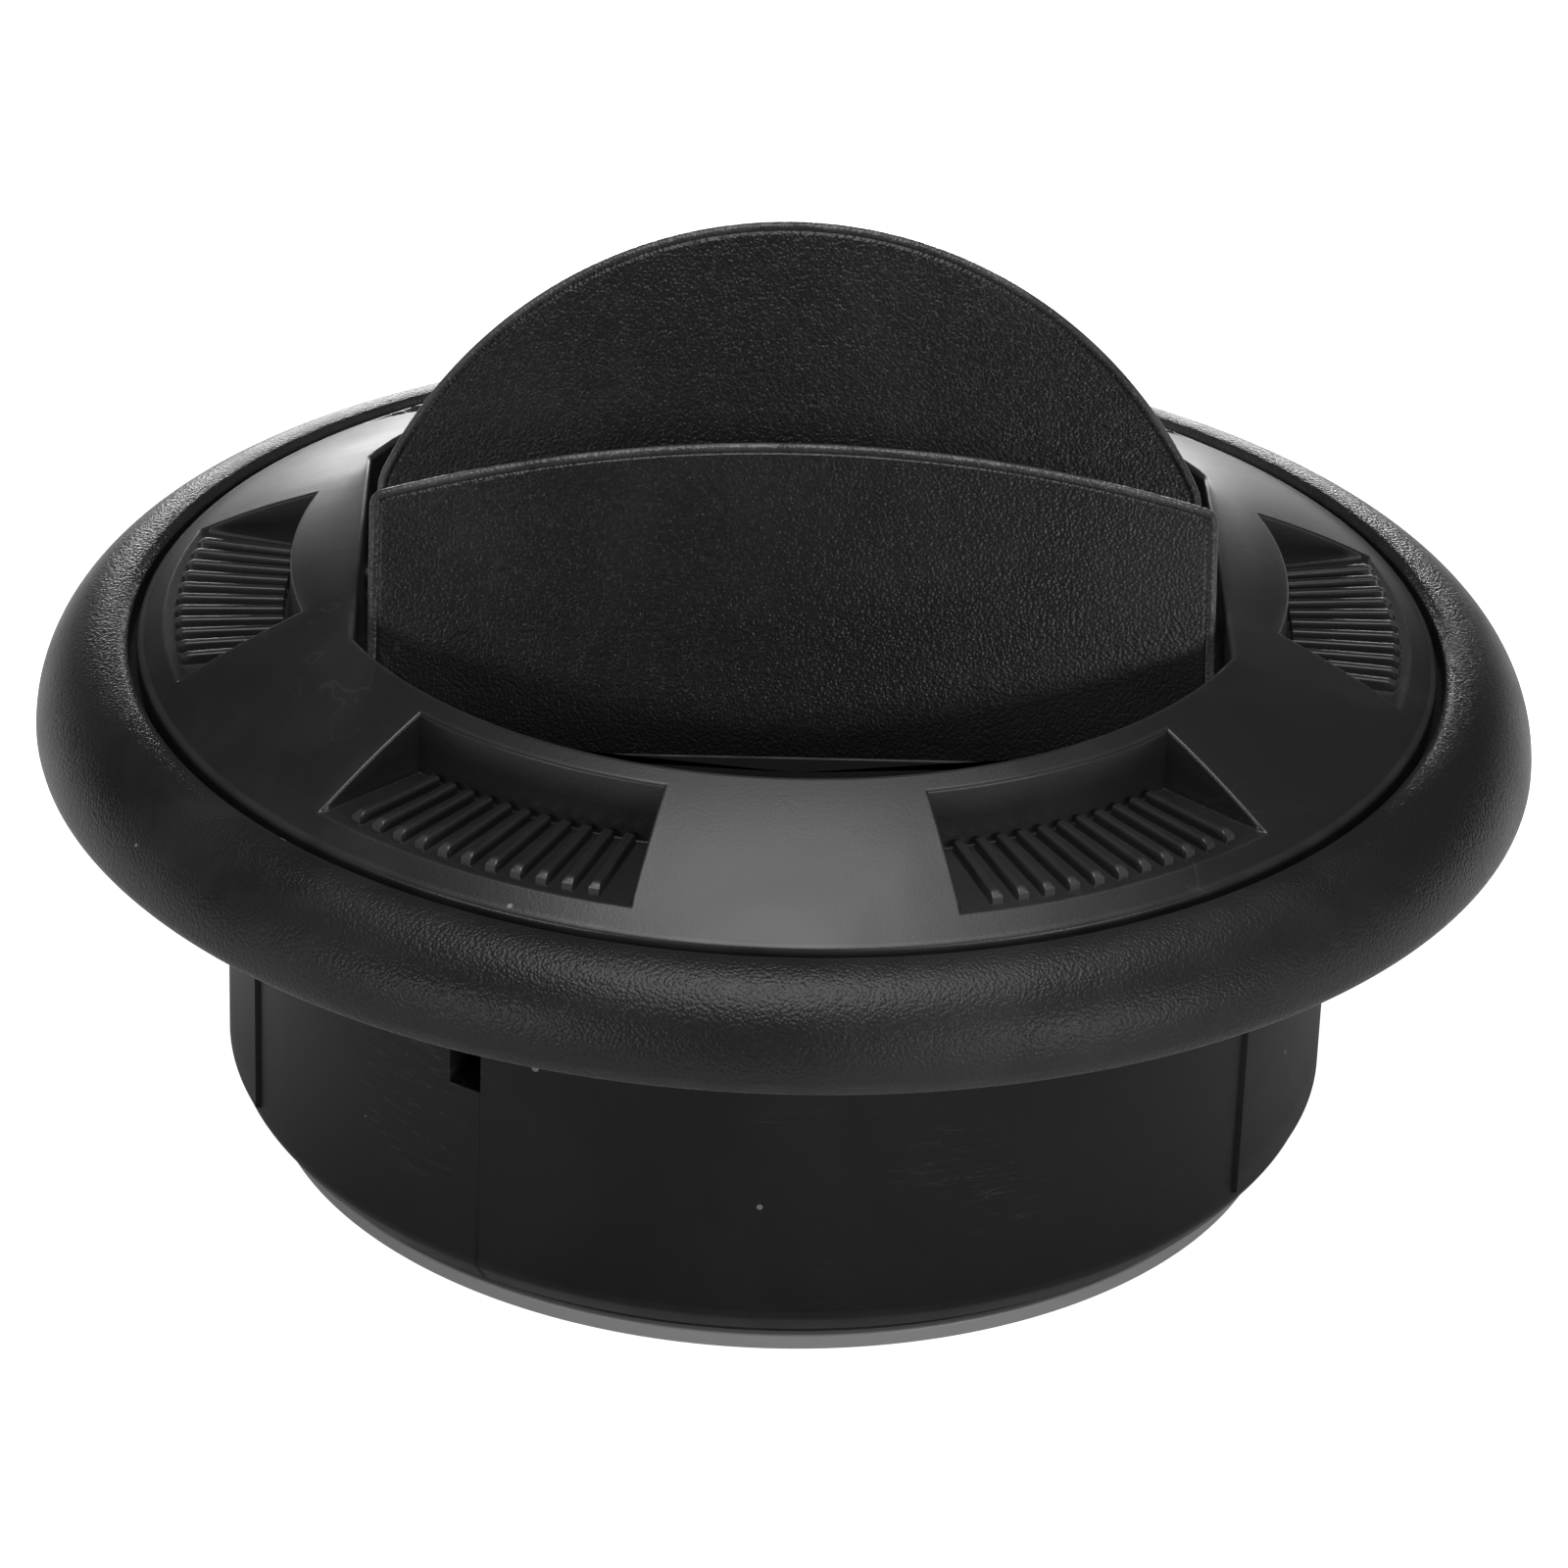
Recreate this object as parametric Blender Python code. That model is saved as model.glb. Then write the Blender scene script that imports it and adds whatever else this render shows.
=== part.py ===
"""Round closable air outlet with a turning grip ring and two linked tilting blades.

Units are metres and +Z is up, out of the duct and into the room. The origin is
on the outlet's axis, at the underside of the retaining ring. The blades stand
open, and the open side of the blades faces -Y.
"""

import math

import bmesh
import bpy
from mathutils import Matrix

MM = 0.001
TURN_STEPS = 72
GAP = 0.3 * MM

# Fixed housing: a bullnose flange on a short duct spigot.
FLANGE_RADIUS = 50.6 * MM
FLANGE_FOOT_Z = 28.4 * MM
FLANGE_CROWN_Z = 35.0 * MM
FLANGE_FOOT_WIDTH = 2.4 * MM
FLANGE_SEAT_Z = 33.0 * MM
FLANGE_WEB = 1.6 * MM
FOOT_INSET = 0.3 * MM
FOOT_RISE = 0.5 * MM
FOOT_TAPER = (0.5 * MM, 0.6 * MM)
WEB_TAPER = 2.4 * MM
GROOVE_OUTER_RADIUS = 44.35 * MM
GROOVE_LIP = (0.55 * MM, 0.35 * MM)
SPIGOT_RADIUS = 37.5 * MM
SPIGOT_BORE = 35.3 * MM
SPIGOT_FOOT_Z = 2.5 * MM
SPIGOT_CHAMFER = (1.1 * MM, 1.5 * MM)
SPIGOT_LIP_BORE = 34.3 * MM
SPIGOT_LIP_WALL = 0.8 * MM
SPIGOT_LIP_Z = 1.45 * MM
SPIGOT_LIP_TOP_Z = 4.2 * MM
SPIGOT_STEP_Z = 5.2 * MM
LAND_HEIGHT = 0.3 * MM
LAND_ROOT = 0.8 * MM
LAND_FOOT_Z = 4.6 * MM
LAND_TOP_Z = 31.0 * MM
LAND_SPANS = ((54.2, 111.7), (-126.3, -68.8))
WINDOW_AZIMUTHS = (-33.4, 86.6, 206.6)
WINDOW_WIDTH = 2.4 * MM
WINDOW_FOOT_Z = 17.2 * MM
WINDOW_TOP_Z = 28.0 * MM
WINDOW_CUT = (-2.0 * MM, 1.0 * MM)

# Grip ring: the turning cone with the opening, six ribbed finger pockets and two blade stops.
RING_RADIUS = 43.75 * MM
RING_EDGE_Z = 34.85 * MM
RING_SKIRT_Z = 33.3 * MM
RING_SKIRT_WIDTH = 1.8 * MM
RING_WEB_Z = 34.3 * MM
RING_COLLAR_RADIUS = 34.0 * MM
RING_COLLAR_Z = 30.5 * MM
CONE_FOOT = (43.3 * MM, 35.15 * MM)
CONE_CROWN = (31.3 * MM, 41.0 * MM)
CONE_BULGE = 0.35 * MM
CROWN_INNER = (26.0 * MM, 42.0 * MM)
OPENING_RADIUS = 31.8 * MM
OPENING_HALF_WIDTH = 28.67 * MM
OPENING_CUT_Z = (25.0 * MM, 50.0 * MM)
FRONT_STOP_CHORD = 27.7 * MM
REAR_STOP_CHORD = 29.1 * MM
STOP_ROOT = 1.0 * MM
FRONT_STOP_Z = (39.1 * MM, 39.95 * MM)
REAR_STOP_Z = (35.7 * MM, 37.05 * MM)
POCKET_COUNT = 6
POCKET_RADII = (33.4 * MM, 44.5 * MM)
POCKET_FLOOR_Z = 35.95 * MM
POCKET_CUT_Z = 45.0 * MM
POCKET_START_ANGLE = math.radians(30.0)
POCKET_HALF_ANGLE = math.radians(16.0)
RIBS_PER_POCKET = 11
RIB_PITCH = math.radians(2.45)
RIB_WIDTH = 0.7 * MM
RIB_HEIGHT = 0.72 * MM
RIB_START_RADIUS = 33.95 * MM
RIB_CHAMFER_RADIUS = 40.65 * MM
RIB_CHAMFER_DROP = 0.33 * MM
RIB_END_RADIUS = 41.3 * MM
RIB_ROOT = 0.4 * MM

# Sleeve, retaining ring and friction ring, which turn with the grip ring.
SLEEVE_RADIUS = 33.6 * MM
SLEEVE_BORE = 31.8 * MM
SLEEVE_FOOT_Z = 1.4 * MM
RETAINER_RADIUS = 35.0 * MM
RETAINER_HEIGHT = 1.1 * MM
FRICTION_RING_RADIUS = 34.45 * MM
FRICTION_RING_THICKNESS = 1.1 * MM
FRICTION_RING_Z = 26.0 * MM

# Blades: drawn closed and flat, then turned open about their pivots.
OPEN_ANGLE = math.radians(65.0)
PIVOT_Z = 35.28 * MM
FRONT_PIVOT_Y = -8.4 * MM
REAR_PIVOT_Y = 5.8 * MM
FACE_ABOVE_PIVOT = 3.5 * MM
BLADE_THICKNESS = 1.4 * MM
BLADE_RADIUS = 30.7 * MM
BLADE_HALF_WIDTH = 27.95 * MM
SPLIT_Y = 7.51 * MM
SPLIT_RADIUS = 102.8 * MM
SPLIT_GAP = 0.45 * MM
BLADE_EDGE = 0.3 * MM
TONGUE_ROOT = 0.5 * MM
UNDER_NEIGHBOUR_GAP = 0.35 * MM
EAR_X = (25.9 * MM, 27.5 * MM)
EAR_RADIUS = 2.6 * MM
SPINE_WIDTH = 1.2 * MM
SPINE_DEPTH = 1.5 * MM
SPINE_END_X = 24.3 * MM
REAR_SPINE_SETBACK = 3.6 * MM
PIN_RADIUS = 1.2 * MM
PIN_HEAD_RADIUS = 2.0 * MM
PIN_HEAD = 0.7 * MM
PIN_END_X = 31.2 * MM
PIN_BORE_END_X = 31.5 * MM

# Link: a bar on one crank lug of each blade keeps the two blades parallel.
CRANK = 6.0 * MM
LUG_X = (20.0 * MM, 21.5 * MM)
LUG_RADIUS = 2.2 * MM
LINK_X = (21.9 * MM, 23.3 * MM)
LINK_RADIUS = 2.1 * MM
LINK_PIN_RADIUS = 0.95 * MM
LINK_PIN_HEAD = 0.6 * MM
LINK_PIN_HEAD_RADIUS = 1.7 * MM
LINK_PIN_TAIL = 0.5 * MM
BORE_OVERCUT = 1.0 * MM


def clear_scene():
    """Remove every object that the scene starts with."""
    for scene_object in list(bpy.data.objects):
        bpy.data.objects.remove(scene_object, do_unlink=True)


def make_material(name, colour, roughness, metallic=0.0):
    """Return a Principled material."""
    material = bpy.data.materials.new(name)
    material.use_nodes = True
    shader = material.node_tree.nodes["Principled BSDF"]
    shader.inputs["Base Color"].default_value = (*colour, 1.0)
    shader.inputs["Roughness"].default_value = roughness
    shader.inputs["Metallic"].default_value = metallic
    return material


def add_object(name, build, colour, roughness, metallic=0.0, parent=None):
    """Link the bmesh as a named object with its own material."""
    bmesh.ops.recalc_face_normals(build, faces=build.faces)
    mesh = bpy.data.meshes.new(name)
    build.to_mesh(mesh)
    build.free()
    mesh.materials.append(make_material(name, colour, roughness, metallic))
    piece = bpy.data.objects.new(name, mesh)
    bpy.context.collection.objects.link(piece)
    if parent is not None:
        piece.parent = parent
    return piece


def hide_tool(tool):
    """Mark an object as a modelling tool, not a piece of the outlet."""
    tool.hide_render = True
    tool.display_type = "WIRE"
    return tool


def add_tool(name, build):
    """Link the bmesh as a cutter or an addition for a Boolean."""
    return hide_tool(add_object(name, build, (0.5, 0.5, 0.5), 0.5))


def combine(piece, tool, operation):
    """Cut the tool out of the piece, or join it on."""
    modifier = piece.modifiers.new(tool.name, "BOOLEAN")
    modifier.operation = operation
    modifier.solver = "EXACT"
    modifier.object = tool
    tool.parent = piece.parent


def smooth_round_faces(piece):
    """Shade the piece smooth and keep its corners crisp."""
    for face in piece.data.polygons:
        face.use_smooth = True
    piece.data.set_sharp_from_angle(angle=math.radians(35.0))


def turned(profile, steps=TURN_STEPS, start=0.0, sweep=math.tau):
    """Return a bmesh turned about Z from a closed (radius, z) profile."""
    build = bmesh.new()
    add_turned(build, profile, steps, start, sweep)
    return build


def add_turned(build, profile, steps, start, sweep):
    """Add a full or part turn of a closed (radius, z) profile to the bmesh."""
    full = abs(sweep - math.tau) < 1e-9
    stations = steps if full else steps + 1
    rows = []
    for step in range(stations):
        angle = start + sweep * step / steps
        direction = (math.sin(angle), -math.cos(angle))
        rows.append([build.verts.new((r * direction[0], r * direction[1], z)) for r, z in profile])
    count = len(profile)
    for step in range(steps):
        here = rows[step]
        there = rows[(step + 1) % stations]
        for index in range(count):
            follow = (index + 1) % count
            build.faces.new((here[index], here[follow], there[follow], there[index]))
    if not full:
        build.faces.new(rows[0])
        build.faces.new(rows[-1])


def extruded(outline, low, high):
    """Return a bmesh of the (x, y) outline between two heights."""
    build = bmesh.new()
    add_prism(build, outline, low, high)
    return build


def add_prism(build, outline, low, high):
    """Add the (x, y) outline between two heights to the bmesh, and return its vertices."""
    floor = [build.verts.new((x, y, low)) for x, y in outline]
    roof = [build.verts.new((x, y, high)) for x, y in outline]
    build.faces.new(floor)
    build.faces.new(roof)
    for index in range(len(outline)):
        follow = (index + 1) % len(outline)
        build.faces.new((floor[index], floor[follow], roof[follow], roof[index]))
    return floor + roof


def along_x(outline, low, high):
    """Return a bmesh of the (y, z) outline between two X places."""
    build = extruded(outline, low, high)
    # The outline's own (x, y) becomes (y, z), and its height becomes x.
    swap = Matrix(((0, 0, 1, 0), (1, 0, 0, 0), (0, 1, 0, 0), (0, 0, 0, 1)))
    bmesh.ops.transform(build, matrix=swap, verts=build.verts)
    return build


def mirrored_x(build):
    """Return the bmesh mirrored to the other side of X."""
    bmesh.ops.transform(build, matrix=Matrix.Diagonal((-1, 1, 1, 1)), verts=build.verts)
    return build


def arc(centre, radius, start, end, count):
    """Return points on an arc, both ends included."""
    points = []
    for index in range(count + 1):
        angle = start + (end - start) * index / count
        points.append((centre[0] + radius * math.cos(angle), centre[1] + radius * math.sin(angle)))
    return points


def disc(centre, radius, count=24):
    """Return a closed circle of points."""
    return arc(centre, radius, 0.0, math.tau * (count - 1) / count, count - 1)


def bulged_line(start, end, bulge, count):
    """Return points on a line that bows out by the bulge at its middle."""
    run = (end[0] - start[0], end[1] - start[1])
    length = math.hypot(*run)
    normal = (-run[1] / length, run[0] / length)
    points = []
    for index in range(count + 1):
        part = index / count
        lift = 4.0 * bulge * part * (1.0 - part)
        points.append((start[0] + run[0] * part + normal[0] * lift,
                       start[1] + run[1] * part + normal[1] * lift))
    return points


def cut_circle(radius, half_width, count):
    """Return a circle's outline with its two X sides cut off flat."""
    corner = math.acos(half_width / radius)
    rear = arc((0.0, 0.0), radius, corner, math.pi - corner, count)
    front = arc((0.0, 0.0), radius, math.pi + corner, math.tau - corner, count)
    return rear + front


def circle_segment(radius, chord_y, side, count):
    """Return the part of a disc that lies beyond a chord parallel to X."""
    half = math.acos(chord_y / radius)
    middle = side * math.pi / 2
    return arc((0.0, 0.0), radius, middle - half, middle + half, count)


def make_housing():
    """The fixed flange and duct spigot, one moulding."""
    bullnose_centre = GROOVE_OUTER_RADIUS + GROOVE_LIP[0]
    bullnose_width = FLANGE_RADIUS - bullnose_centre
    bullnose_foot = FLANGE_FOOT_Z + FOOT_RISE
    bullnose_height = FLANGE_CROWN_Z - bullnose_foot
    rim = []
    for index in range(11):
        angle = math.radians(90.0 - 9.0 * index)
        rim.append((bullnose_centre + bullnose_width * math.cos(angle),
                    bullnose_foot + bullnose_height * math.sin(angle)))
    foot_inner = FLANGE_RADIUS - FOOT_INSET - FLANGE_FOOT_WIDTH
    web_z = FLANGE_SEAT_Z - FLANGE_WEB
    profile = [(GROOVE_OUTER_RADIUS, FLANGE_CROWN_Z - GROOVE_LIP[1]), *rim]
    profile += [
        (FLANGE_RADIUS - FOOT_INSET, FLANGE_FOOT_Z),
        (foot_inner, FLANGE_FOOT_Z),
        (foot_inner - FOOT_TAPER[0], web_z - FOOT_TAPER[1]),
        (foot_inner - WEB_TAPER, web_z),
        (SPIGOT_RADIUS, web_z),
        (SPIGOT_RADIUS, SPIGOT_FOOT_Z + SPIGOT_CHAMFER[1]),
        (SPIGOT_RADIUS - SPIGOT_CHAMFER[0], SPIGOT_FOOT_Z),
        (SPIGOT_LIP_BORE + SPIGOT_LIP_WALL, SPIGOT_FOOT_Z),
        (SPIGOT_LIP_BORE + SPIGOT_LIP_WALL, SPIGOT_LIP_Z),
        (SPIGOT_LIP_BORE, SPIGOT_LIP_Z),
        (SPIGOT_LIP_BORE, SPIGOT_LIP_TOP_Z),
        (SPIGOT_BORE, SPIGOT_STEP_Z),
        (SPIGOT_BORE, FLANGE_SEAT_Z),
        (GROOVE_OUTER_RADIUS, FLANGE_SEAT_Z),
    ]
    housing = add_object("housing", turned(profile), (0.016, 0.016, 0.017), 0.42)
    smooth_round_faces(housing)
    land_profile = [
        (SPIGOT_RADIUS + LAND_HEIGHT, LAND_TOP_Z),
        (SPIGOT_RADIUS + LAND_HEIGHT, LAND_FOOT_Z),
        (SPIGOT_RADIUS - LAND_ROOT, LAND_FOOT_Z),
        (SPIGOT_RADIUS - LAND_ROOT, LAND_TOP_Z),
    ]
    lands = bmesh.new()
    for first, last in LAND_SPANS:
        add_turned(lands, land_profile, 12, math.radians(first), math.radians(last - first))
    combine(housing, add_tool("tool_lands", lands), "UNION")

    windows = bmesh.new()
    half = WINDOW_WIDTH / 2
    outside = -SPIGOT_RADIUS + WINDOW_CUT[0]
    inside = -SPIGOT_BORE + WINDOW_CUT[1]
    outline = [(-half, outside), (half, outside), (half, inside), (-half, inside)]
    for azimuth in WINDOW_AZIMUTHS:
        corners = add_prism(windows, outline, WINDOW_FOOT_Z, WINDOW_TOP_Z)
        turn = Matrix.Rotation(math.radians(azimuth), 4, "Z")
        bmesh.ops.transform(windows, matrix=turn, verts=corners)
    combine(housing, add_tool("tool_windows", windows), "DIFFERENCE")
    return housing


def make_rib(build, azimuth):
    """Add one finger rib, lying along a radius on its pocket's floor."""
    half = RIB_WIDTH / 2
    top = POCKET_FLOOR_Z + RIB_HEIGHT
    low = POCKET_FLOOR_Z - RIB_ROOT
    side = [(RIB_START_RADIUS, low), (RIB_START_RADIUS, top), (RIB_CHAMFER_RADIUS, top),
            (RIB_END_RADIUS, top - RIB_CHAMFER_DROP), (RIB_END_RADIUS, low)]
    left = [build.verts.new((-half, -r, z)) for r, z in side]
    right = [build.verts.new((half, -r, z)) for r, z in side]
    build.faces.new(left)
    build.faces.new(right)
    for index in range(len(side)):
        follow = (index + 1) % len(side)
        build.faces.new((left[index], left[follow], right[follow], right[index]))
    turn = Matrix.Rotation(azimuth, 4, "Z")
    bmesh.ops.transform(build, matrix=turn, verts=left + right)


def make_grip_ring(rotor):
    """The turning cone with the opening, the finger pockets and the blade stops."""
    face = bulged_line(CONE_FOOT, CONE_CROWN, -CONE_BULGE, 6)
    face.reverse()
    profile = [CROWN_INNER, *face]
    profile += [
        (RING_RADIUS, RING_EDGE_Z),
        (RING_RADIUS, RING_SKIRT_Z),
        (RING_RADIUS - RING_SKIRT_WIDTH, RING_SKIRT_Z),
        (RING_RADIUS - RING_SKIRT_WIDTH, RING_WEB_Z),
        (RING_COLLAR_RADIUS, RING_WEB_Z),
        (RING_COLLAR_RADIUS, RING_COLLAR_Z),
        (CROWN_INNER[0], RING_COLLAR_Z),
    ]
    ring = add_object("grip_ring", turned(profile), (0.018, 0.018, 0.019), 0.38, parent=rotor)
    smooth_round_faces(ring)

    opening = extruded(cut_circle(OPENING_RADIUS, OPENING_HALF_WIDTH, 25), *OPENING_CUT_Z)
    combine(ring, add_tool("tool_opening", opening), "DIFFERENCE")

    stops = bmesh.new()
    for side, chord, span in ((-1, FRONT_STOP_CHORD, FRONT_STOP_Z), (1, REAR_STOP_CHORD, REAR_STOP_Z)):
        add_prism(stops, circle_segment(OPENING_RADIUS + STOP_ROOT, chord, side, 11), *span)
    combine(ring, add_tool("tool_stops", stops), "UNION")

    inner, outer = POCKET_RADII
    section = [(outer, POCKET_CUT_Z), (outer, POCKET_FLOOR_Z), (inner, POCKET_FLOOR_Z), (inner, POCKET_CUT_Z)]
    pockets = bmesh.new()
    for number in range(POCKET_COUNT):
        middle = POCKET_START_ANGLE + math.tau * number / POCKET_COUNT
        add_turned(pockets, section, 7, middle - POCKET_HALF_ANGLE, 2 * POCKET_HALF_ANGLE)
    combine(ring, add_tool("tool_pockets", pockets), "DIFFERENCE")

    ribs = bmesh.new()
    for number in range(POCKET_COUNT):
        middle = POCKET_START_ANGLE + math.tau * number / POCKET_COUNT
        for rib in range(RIBS_PER_POCKET):
            make_rib(ribs, middle + RIB_PITCH * (rib - (RIBS_PER_POCKET - 1) / 2))
    combine(ring, add_tool("tool_ribs", ribs), "UNION")

    for name, pivot_y in (("front", FRONT_PIVOT_Y), ("rear", REAR_PIVOT_Y)):
        bores = along_x(disc((pivot_y, PIVOT_Z), PIN_RADIUS + GAP), -PIN_BORE_END_X, PIN_BORE_END_X)
        combine(ring, add_tool(f"tool_{name}_bores", bores), "DIFFERENCE")
    return ring


def make_sleeve(rotor):
    """The tube that carries the air through the housing and turns inside it."""
    profile = [(SLEEVE_RADIUS, RING_COLLAR_Z - GAP), (SLEEVE_RADIUS, SLEEVE_FOOT_Z),
               (SLEEVE_BORE, SLEEVE_FOOT_Z), (SLEEVE_BORE, RING_COLLAR_Z - GAP)]
    sleeve = add_object("duct_sleeve", turned(profile), (0.018, 0.018, 0.019), 0.45, parent=rotor)
    smooth_round_faces(sleeve)


def make_retaining_ring(rotor):
    """The flat ring under the housing's lip, which keeps the rotor from lifting out."""
    profile = [(RETAINER_RADIUS, RETAINER_HEIGHT), (RETAINER_RADIUS, 0.0),
               (SLEEVE_BORE, 0.0), (SLEEVE_BORE, RETAINER_HEIGHT)]
    ring = add_object("retaining_ring", turned(profile), (0.03, 0.03, 0.032), 0.35, parent=rotor)
    smooth_round_faces(ring)


def make_friction_ring(rotor):
    """The round rubber ring that makes the rotor stay where it is turned."""
    section = disc((FRICTION_RING_RADIUS, FRICTION_RING_Z), FRICTION_RING_THICKNESS / 2, 8)
    ring = add_object("friction_ring", turned(section), (0.01, 0.01, 0.01), 0.8, parent=rotor)
    smooth_round_faces(ring)


def split_arc_y(x, offset=0.0):
    """Return the Y of the split between the closed blades at a given X."""
    radius = SPLIT_RADIUS + offset
    return SPLIT_Y + offset - (radius - math.sqrt(radius ** 2 - x ** 2))


def split_arc(offset, count=16):
    """Return the split line from +X to -X, both ends included."""
    points = []
    for index in range(count + 1):
        x = BLADE_HALF_WIDTH * (1.0 - 2.0 * index / count)
        points.append((x, split_arc_y(x, offset)))
    return points


def blade_outline(is_front):
    """Return the outline of a closed blade in plan."""
    corner = math.acos(BLADE_HALF_WIDTH / BLADE_RADIUS)
    if is_front:
        edge = arc((0.0, 0.0), BLADE_RADIUS, math.pi + corner, math.tau - corner, 28)
        return split_arc(0.0) + edge
    edge = arc((0.0, 0.0), BLADE_RADIUS, corner, math.pi - corner, 28)
    return edge + list(reversed(split_arc(SPLIT_GAP)))


def opened(build, pivot_y):
    """Turn a closed blade open about its pivot, and put its origin on the pivot."""
    to_pivot = Matrix.Translation((0.0, -pivot_y, -PIVOT_Z))
    turn = Matrix.Rotation(OPEN_ANGLE, 4, "X")
    bmesh.ops.transform(build, matrix=turn @ to_pivot, verts=build.verts)
    return build


def tongue_outline(pivot_y, centre_z, radius, back_z, near_x, is_front):
    """Return the (y, z) outline of an ear or lug: round at its foot, and rooted in the plate.

    The rear blade's tongues reach under the front blade, so there they stay below its back.
    """
    root = back_z + TONGUE_ROOT
    foot = arc((pivot_y, centre_z), radius, math.pi, math.tau, 10)
    if is_front:
        return [(pivot_y - radius, root), *foot, (pivot_y + radius, root)]
    plate_y = split_arc_y(near_x, SPLIT_GAP) + TONGUE_ROOT
    under = back_z - UNDER_NEIGHBOUR_GAP
    return [(plate_y, root), (plate_y, under), (pivot_y - radius, under), *foot, (pivot_y + radius, root)]


def make_blade(name, hinge, pivot_y, is_front):
    """One blade: a flat plate with a spine, two pivot ears and a crank lug on its back."""
    face_z = PIVOT_Z + FACE_ABOVE_PIVOT
    back_z = face_z - BLADE_THICKNESS
    outline = blade_outline(is_front)
    plate = extruded(outline, back_z, face_z)
    rims = [edge for edge in plate.edges if abs(edge.verts[0].co.z - edge.verts[1].co.z) < 0.1 * MM]
    bmesh.ops.bevel(plate, geom=rims, offset=BLADE_EDGE, segments=2, affect="EDGES", profile=0.5)
    blade = add_object(name, opened(plate, pivot_y), (0.014, 0.014, 0.015), 0.45, parent=hinge)
    smooth_round_faces(blade)

    lug_base = PIVOT_Z - CRANK
    ear_outline = tongue_outline(pivot_y, PIVOT_Z, EAR_RADIUS, back_z, EAR_X[0], is_front)
    lug_outline = tongue_outline(pivot_y, lug_base, LUG_RADIUS, back_z, LUG_X[0], is_front)
    # The rear blade's plate starts behind its pivot, so its spine is set back onto the plate.
    spine_y = pivot_y if is_front else pivot_y + REAR_SPINE_SETBACK
    root = back_z + TONGUE_ROOT
    spine_outline = [(spine_y - SPINE_WIDTH / 2, root), (spine_y - SPINE_WIDTH / 2, back_z - SPINE_DEPTH),
                     (spine_y + SPINE_WIDTH / 2, back_z - SPINE_DEPTH), (spine_y + SPINE_WIDTH / 2, root)]
    pieces = [
        ("ear_right", along_x(ear_outline, *EAR_X)),
        ("ear_left", mirrored_x(along_x(ear_outline, *EAR_X))),
        ("lug", along_x(lug_outline, *LUG_X)),
        ("spine", along_x(spine_outline, -SPINE_END_X, SPINE_END_X)),
    ]
    for label, build in pieces:
        tool = add_tool(f"tool_{name}_{label}", opened(build, pivot_y))
        combine(blade, tool, "UNION")
    ear_bore = disc((pivot_y, PIVOT_Z), PIN_RADIUS + GAP)
    ear_cut = (EAR_X[0] - BORE_OVERCUT, EAR_X[1] + BORE_OVERCUT)
    lug_bore = disc((pivot_y, lug_base), LINK_PIN_RADIUS + GAP)
    holes = [
        ("bore_right", along_x(ear_bore, *ear_cut)),
        ("bore_left", mirrored_x(along_x(ear_bore, *ear_cut))),
        ("bore_lug", along_x(lug_bore, LUG_X[0] - BORE_OVERCUT, LUG_X[1] + BORE_OVERCUT)),
    ]
    for label, build in holes:
        tool = add_tool(f"tool_{name}_{label}", opened(build, pivot_y))
        combine(blade, tool, "DIFFERENCE")
    return blade


def stepped_pin(head_x, end_x, head_radius, radius, head_length):
    """Return a headed pin that runs along X, centred on the X axis."""
    profile = [(head_radius, head_x), (head_radius, head_x + head_length),
               (radius, head_x + head_length), (radius, end_x)]
    steps = 20
    build = bmesh.new()
    rows = []
    for r, x in profile:
        ring = []
        for step in range(steps):
            angle = math.tau * step / steps
            ring.append(build.verts.new((x, r * math.cos(angle), r * math.sin(angle))))
        rows.append(ring)
    for here, there in zip(rows, rows[1:]):
        for step in range(steps):
            follow = (step + 1) % steps
            build.faces.new((here[step], here[follow], there[follow], there[step]))
    build.faces.new(rows[0])
    build.faces.new(rows[-1])
    return build


def make_pivot_pins(label, hinge):
    """The two headed pivot pins of a blade."""
    head_x = EAR_X[0] - GAP - PIN_HEAD
    for side_name, side in (("right", 1), ("left", -1)):
        pin = stepped_pin(head_x, PIN_END_X, PIN_HEAD_RADIUS, PIN_RADIUS, PIN_HEAD)
        if side < 0:
            pin = mirrored_x(pin)
        pin_object = add_object(f"{label}_pin_{side_name}", pin, (0.03, 0.03, 0.03), 0.4, parent=hinge)
        smooth_round_faces(pin_object)


def crank_offset():
    """Return the crank pin's (y, z) from the blade's pivot, with the blades open."""
    return CRANK * math.sin(OPEN_ANGLE), -CRANK * math.cos(OPEN_ANGLE)


def make_link_bar(link_joint):
    """The flat bar that joins the crank lugs. Its origin is the front crank pin."""
    spacing = REAR_PIVOT_Y - FRONT_PIVOT_Y
    outline = arc((0.0, 0.0), LINK_RADIUS, math.pi / 2, 3 * math.pi / 2, 10)
    outline += arc((spacing, 0.0), LINK_RADIUS, -math.pi / 2, math.pi / 2, 10)
    bar = add_object("link_bar", along_x(outline, *LINK_X), (0.02, 0.02, 0.02), 0.5, parent=link_joint)
    smooth_round_faces(bar)
    for number, y in enumerate((0.0, spacing)):
        bore = disc((y, 0.0), LINK_PIN_RADIUS + GAP)
        hole = along_x(bore, LINK_X[0] - BORE_OVERCUT, LINK_X[1] + BORE_OVERCUT)
        combine(bar, add_tool(f"tool_link_hole_{number}", hole), "DIFFERENCE")


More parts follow.
